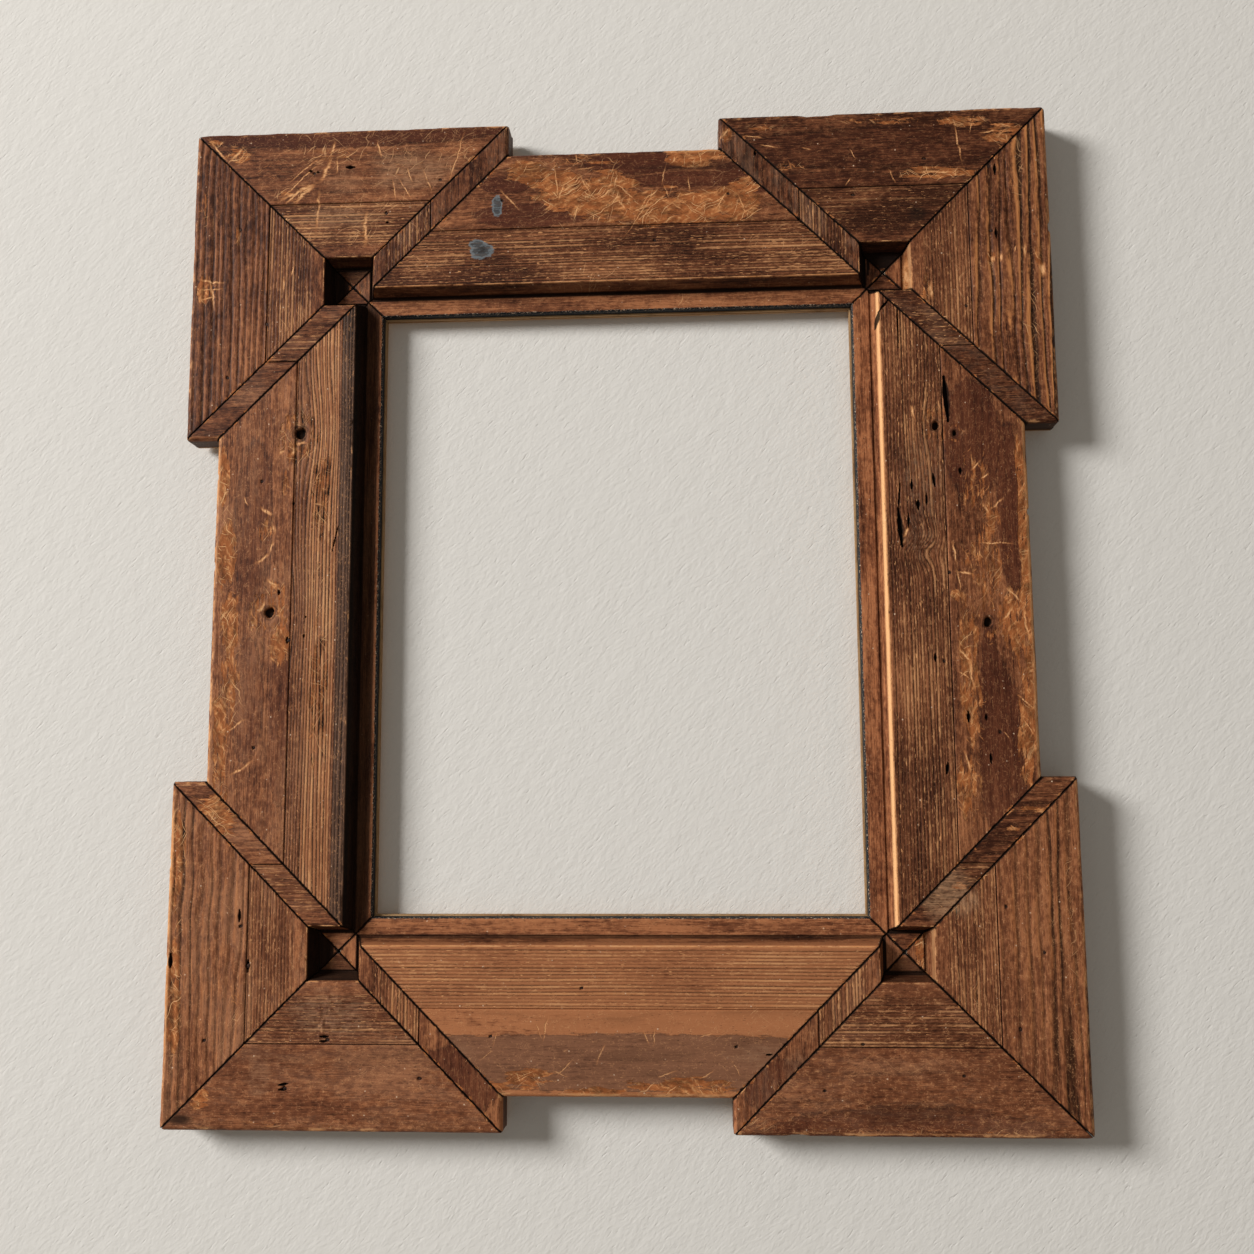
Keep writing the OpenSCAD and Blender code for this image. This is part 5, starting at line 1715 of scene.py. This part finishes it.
class FRAME_OT_nails(bpy.types.Operator):
    """Builds the nails punched in below the face"""

    bl_idname = "frame.nails"
    bl_label = "Nails"

    def execute(self, context):
        sizes, metal = context.scene.frame_sizes, context.scene.hardware_sizes
        head, shank = metal.nail_head / 2, metal.nail_shank / 2
        top = sizes.face_y + NAIL_SUNK
        under, point = top + NAIL_HEAD_HEIGHT, top + metal.nail_length
        outline = [(head * share, top + drop) for share, drop in NAIL_DOME]
        outline += [(head * 0.93, under), (shank * 1.25, under + 0.0001), (shank, under + 0.0006)]
        outline += [(shank, point - NAIL_POINT), (0, point)]
        heads = [mesh_of(turned(outline, 20, 0.07, seed), "nail") for seed in (3, 4, 5, 6)]
        for made in heads:
            sharpen(made, NAIL_SHARP)
        mesh = scatter(heads, spots_of_nails(sizes), "face_nails", 7)
        finish = old_iron("nail_iron", context.scene.metal_colours)
        add_piece("nails", mesh, "frame", "old_iron", ["face_nails"], finish)
        return {"FINISHED"}


def thread(shank, start, length):
    """Rings along a screw's shank, for its thread, going into the wood."""
    crests = []
    y = -start - THREAD_START
    while y > THREAD_END - length:
        crests += [(shank * THREAD_ROOT, y), (shank, y - THREAD_WIDTH / 2), (shank * THREAD_ROOT, y - THREAD_WIDTH)]
        y -= THREAD_PITCH
    return crests


class FRAME_OT_screws(bpy.types.Operator):
    """Builds the screws through the back boards and through the hangers"""

    bl_idname = "frame.screws"
    bl_label = "Screws"

    def execute(self, context):
        sizes, metal = context.scene.frame_sizes, context.scene.hardware_sizes
        finish = steel("screw_steel", context.scene.metal_colours)
        head, shank, length = metal.screw_head / 2, metal.screw_shank / 2, metal.screw_length
        neck = head - shank

        def screws(name, node, outline, start, top, half_length, spots, seed):
            outline = [*outline, *thread(shank, start, length), (0, -length)]
            made = cross_cut(mesh_of(turned(outline, 28), name), top, half_length)
            sharpen(made, SCREW_SHARP)
            add_piece(name, scatter([made], spots, node, seed), "frame", "plated_steel", [node], finish)

        flat = [(head * share, -drop) for share, drop in FLAT_HEAD] + [(shank, -neck)]
        spots = spots_of_screws(sizes, metal)
        screws("back_screws", "backing_screws", flat, neck, -FLAT_HEAD[0][1], FLAT_RECESS / 2, spots, 8)

        strap, pan = metal.strap_thickness, metal.pan_height
        dome = [(0, strap + pan)]
        for a in np.linspace(0, math.pi / 2, 8)[1:]:
            dome.append((head * math.sin(a), strap + pan * 0.3 + pan * 0.7 * math.cos(a)))
        dome += [(head, strap + 0.0002), (head * 0.96, strap), (shank, strap)]
        low = metal.hanger_z - metal.strap_length + metal.strap_width / 2
        spots = [(side * metal.hanger_x, z) for side in (-1, 1) for z in (low, low + metal.strap_screw_gap)]
        screws("strap_screws", "hanger_screws", dome, 0.0, strap + pan, PAN_RECESS / 2, spots, 9)
        return {"FINISHED"}


class FRAME_OT_hangers(bpy.types.Operator):
    """Builds the two strap hangers and their rings"""

    bl_idname = "frame.hangers"
    bl_label = "Hangers"

    def execute(self, context):
        metal = context.scene.hardware_sizes
        finish = steel("hanger_steel", context.scene.metal_colours)
        for side, sign in (("left", -1), ("right", 1)):
            strap = self.strap(metal)
            ring = self.ring(metal)
            for mesh in (strap, ring):
                mesh.transform(Matrix.Translation((sign * metal.hanger_x, 0, 0)))
            add_piece("strap_" + side, strap, "frame", "plated_steel", ["hanger_strap_" + side], finish)
            add_piece("ring_" + side, ring, side + "_ring", "plated_steel", ["hanger_ring_" + side], finish)
        return {"FINISHED"}

    def strap(self, metal):
        """A strip with a round end, its top rolled over the ring's bar."""
        half, thick, top = metal.strap_width / 2, metal.strap_thickness, metal.hanger_z
        low = top - metal.strap_length + half
        roll = metal.wire / 2 + metal.eye_clear + thick / 2
        pivot = thick + metal.ring_gap + metal.wire / 2
        bm = bmesh.new()

        # The flat, with its round end
        outline = [(half * math.cos(a), low + half * math.sin(a)) for a in np.linspace(math.pi, 2 * math.pi, 25)]
        flat_top = top - roll * 0.55
        outline += [(half, flat_top), (-half, flat_top)]
        face = bm.faces.new([bm.verts.new((x, STRAP_PLAY, z)) for x, z in outline])
        made = bmesh.ops.extrude_face_region(bm, geom=[face])
        lifted = [v for v in made["geom"] if isinstance(v, bmesh.types.BMVert)]
        bmesh.ops.translate(bm, verts=lifted, vec=(0, thick - STRAP_PLAY, 0))
        outward(bm)

        # The roll, from the flat round the bar and back down to its own foot
        path = [(thick / 2, flat_top - 0.0006), (thick / 2 + 0.0001, flat_top + 0.0002)]
        for a in np.radians(np.linspace(*ROLL_ANGLES, 26)):
            path.append((pivot + roll * math.cos(a), top + roll * math.sin(a)))
        rings = []
        for k, (y, z) in enumerate(path):
            before, after = path[max(k - 1, 0)], path[min(k + 1, len(path) - 1)]
            way = Vector((after[0] - before[0], after[1] - before[1])).normalized()
            out = Vector((-way.y, way.x)) * thick / 2
            corners = ((-half, out), (half, out), (half, -out), (-half, -out))
            rings.append([bm.verts.new((x, y + side.x, z + side.y)) for x, side in corners])
        bm.faces.new(rings[0])
        bm.faces.new(rings[-1][::-1])
        skin(bm, rings)
        outward(bm)
        edges = [e for e in bm.edges if len(e.link_faces) == 2 and e.calc_face_angle(0) > math.radians(CORNER)]
        bmesh.ops.bevel(bm, geom=edges, offset=STRAP_EDGE, segments=2, affect="EDGES")
        mesh = mesh_of(bm, "strap")
        sharpen(mesh, STRAP_SHARP)
        return mesh

    def ring(self, metal):
        """Bent wire: a bar through the roll, two short legs and a round bow."""
        wire, leg, bend, sides = metal.wire / 2, metal.ring_leg, RING_BEND, 16
        half = metal.strap_width / 2 + metal.ring_side_gap + wire
        pivot = metal.strap_thickness + metal.ring_gap + wire
        quarter = np.linspace(0, math.pi / 2, 7)
        path = [(x, 0.0) for x in np.linspace(-half + bend, half - bend, 12)]
        path += [(half - bend + bend * math.sin(a), -bend + bend * math.cos(a)) for a in quarter[1:]]
        path += [(half * math.cos(a), -leg - half * math.sin(a)) for a in np.linspace(0, math.pi, 41)]
        path += [(-half + bend - bend * math.cos(a), -bend + bend * math.sin(a)) for a in quarter[:-1]]
        bm = bmesh.new()
        rings = []
        for k, (x, z) in enumerate(path):
            way = (Vector(path[(k + 1) % len(path)]) - Vector(path[k - 1])).normalized()
            ring = []
            for a in (2 * math.pi * j / sides for j in range(sides)):
                out = wire * math.cos(a)
                spot = (x + way.y * out, pivot + wire * math.sin(a), metal.hanger_z + z - way.x * out)
                ring.append(bm.verts.new(spot))
            rings.append(ring)
        skin(bm, [*rings, rings[0]])
        outward(bm)
        mesh = mesh_of(bm, "ring")
        sharpen(mesh, RING_SHARP)
        return mesh


class FRAME_OT_stage(bpy.types.Operator):
    """Builds the wall, the lights and the camera"""

    bl_idname = "frame.stage"
    bl_label = "Stage"

    def execute(self, context):
        stage = context.scene.stage_settings
        wall = bpy.data.objects.new("wall", self.wall_mesh(stage, context.scene.frame_sizes))
        wall.data.materials.append(self.plaster(stage))
        context.scene.collection.objects.link(wall)
        for name, (place, width) in LAMPS.items():
            lamp = bpy.data.lights.new(name, "AREA")
            lamp.shape, lamp.size, lamp.energy = "DISK", width, getattr(stage, name + "_power")
            light = bpy.data.objects.new(name, lamp)
            context.scene.collection.objects.link(light)
            light.location = place
            light.rotation_mode = "QUATERNION"
            light.rotation_quaternion = (-Vector(place)).to_track_quat("-Z", "Y")
        context.scene.world = self.room(stage)
        context.scene.view_settings.view_transform = "Standard"
        eye = self.eye()
        context.scene.collection.objects.link(eye)
        context.scene.camera = eye
        return {"FINISHED"}

    def plaster(self, stage):
        """Pale plaster that can't be seen from behind."""
        paint = new_paint("pale_plaster")
        spot = paint.spot()
        broad = paint.noise(spot, 0.4, 2.0, 0.5)
        slanted = paint.turned(spot, -0.8)
        grain = paint.noise(slanted, (0.0018, 0.003, 0.0045), 4.0, 0.6)
        pat = paint.noise(slanted, (0.012, 0.012, 0.020), 3.0, 0.6)
        pits = paint.ease(paint.noise(slanted, (0.0022, 0.004, 0.0070), 2.0, 0.5, (5, 1, 3)), 0.64, 0.74)
        base = paint.darken(stage.wall, 0.97 + broad * 0.04 + (grain - 0.5) * 0.05)
        plaster = paint.surface(base, 0.95, grain * 0.45 + pat * 0.6 - pits * 0.16, 0.0008, specular=0.2)
        clear = paint.node("ShaderNodeBsdfTransparent", {}, {})
        behind = paint.node("ShaderNodeNewGeometry", {}, {}, "Backfacing")
        mixed = paint.node("ShaderNodeMixShader", {}, {0: behind, 1: plaster, 2: clear})
        paint.node("ShaderNodeOutputMaterial", {}, {"Surface": mixed})
        return paint.owner

    def wall_mesh(self, stage, z):
        """The wall, open behind the casing, so that light reaches the back when it is seen from there."""
        inset, sides = stage.wall_inset, []
        for ear, rail in ((z.ear_x, z.rail_x), (z.ear_z, z.rail_z)):
            sight = rail - z.face_width - z.step_width - z.lip_width + inset
            sides.append((sight, rail - inset, ear - inset, ear - z.ear_length + inset))
        across, up = (sorted(sign * at for sign in (-1, 1) for at in (WALL_REACH, *side)) for side in sides)

        def covered(x, y):
            """Whether the casing hides this place of the wall"""
            (sight_x, rail_x, ear_x, step_x), (sight_z, rail_z, ear_z, step_z) = sides
            ear = x > step_x and y > step_z
            inside = (x < ear_x and y < ear_z) if ear else (x < rail_x and y < rail_z)
            return inside and not (x < sight_x and y < sight_z)

        count = len(across)
        panes = []
        for i in range(count - 1):
            for j in range(count - 1):
                if not covered(abs(across[i] + across[i + 1]) / 2, abs(up[j] + up[j + 1]) / 2):
                    panes.append((count * j + i, count * j + i + 1, count * (j + 1) + i + 1, count * (j + 1) + i))
        mesh = bpy.data.meshes.new("wall")
        mesh.from_pydata([(x, stage.wall_gap, y) for y in up for x in across], [], panes)
        return mesh

    def room(self, stage):
        """Light from all round, and the plain grey that the camera sees beyond the wall."""
        paint = Paint(bpy.data.worlds.new("pale_room"))
        light = paint.node("ShaderNodeBackground", {}, {"Color": ROOM_LIGHT, "Strength": stage.ambient})
        seen = paint.node("ShaderNodeBackground", {}, {"Color": ROOM_SEEN})
        ray = paint.node("ShaderNodeLightPath", {}, {}, "Is Camera Ray")
        mixed = paint.node("ShaderNodeMixShader", {}, {0: ray, 1: light, 2: seen})
        paint.node("ShaderNodeOutputWorld", {}, {"Surface": mixed})
        return paint.owner

    def eye(self):
        """The camera, where the photograph was taken from."""
        camera = bpy.data.cameras.new("camera")
        camera.sensor_width, camera.lens = SENSOR, SENSOR * FOCAL_PIXELS / PHOTO_PIXELS
        eye = bpy.data.objects.new("camera", camera)
        turn = Matrix((EYE_RIGHT, EYE_UP, [-c for c in EYE_AHEAD])).transposed().to_4x4()
        turn.translation = EYE_PLACE
        eye.matrix_world = turn
        return eye


class FRAME_PT_panel(bpy.types.Panel):
    """Lists the frame's pieces"""

    bl_label = "Picture frame"
    bl_space_type = "VIEW_3D"
    bl_region_type = "UI"
    bl_category = "Frame"

    def draw(self, context):
        for step in STEPS:
            self.layout.operator(step.bl_idname)


STEPS = [
    FRAME_OT_rails, FRAME_OT_ears, FRAME_OT_returns, FRAME_OT_back_boards,
    FRAME_OT_nails, FRAME_OT_screws, FRAME_OT_hangers, FRAME_OT_stage,
]
GROUPS = {
    "frame_sizes": FrameSizes,
    "hardware_sizes": HardwareSizes,
    "wood_colours": WoodColours,
    "metal_colours": MetalColours,
    "stage_settings": StageSettings,
}


def register():
    for group in GROUPS.values():
        bpy.utils.register_class(group)
    for step in (*STEPS, FRAME_PT_panel):
        bpy.utils.register_class(step)
    for name, group in GROUPS.items():
        setattr(bpy.types.Scene, name, PointerProperty(type=group))


def unregister():
    for name in GROUPS:
        delattr(bpy.types.Scene, name)
    for step in (FRAME_PT_panel, *reversed(STEPS)):
        bpy.utils.unregister_class(step)
    for group in GROUPS.values():
        bpy.utils.unregister_class(group)


def main():
    register()
    for step in STEPS:
        category, name = step.bl_idname.split(".")
        getattr(getattr(bpy.ops, category), name)()


if __name__ == "__main__":
    main()
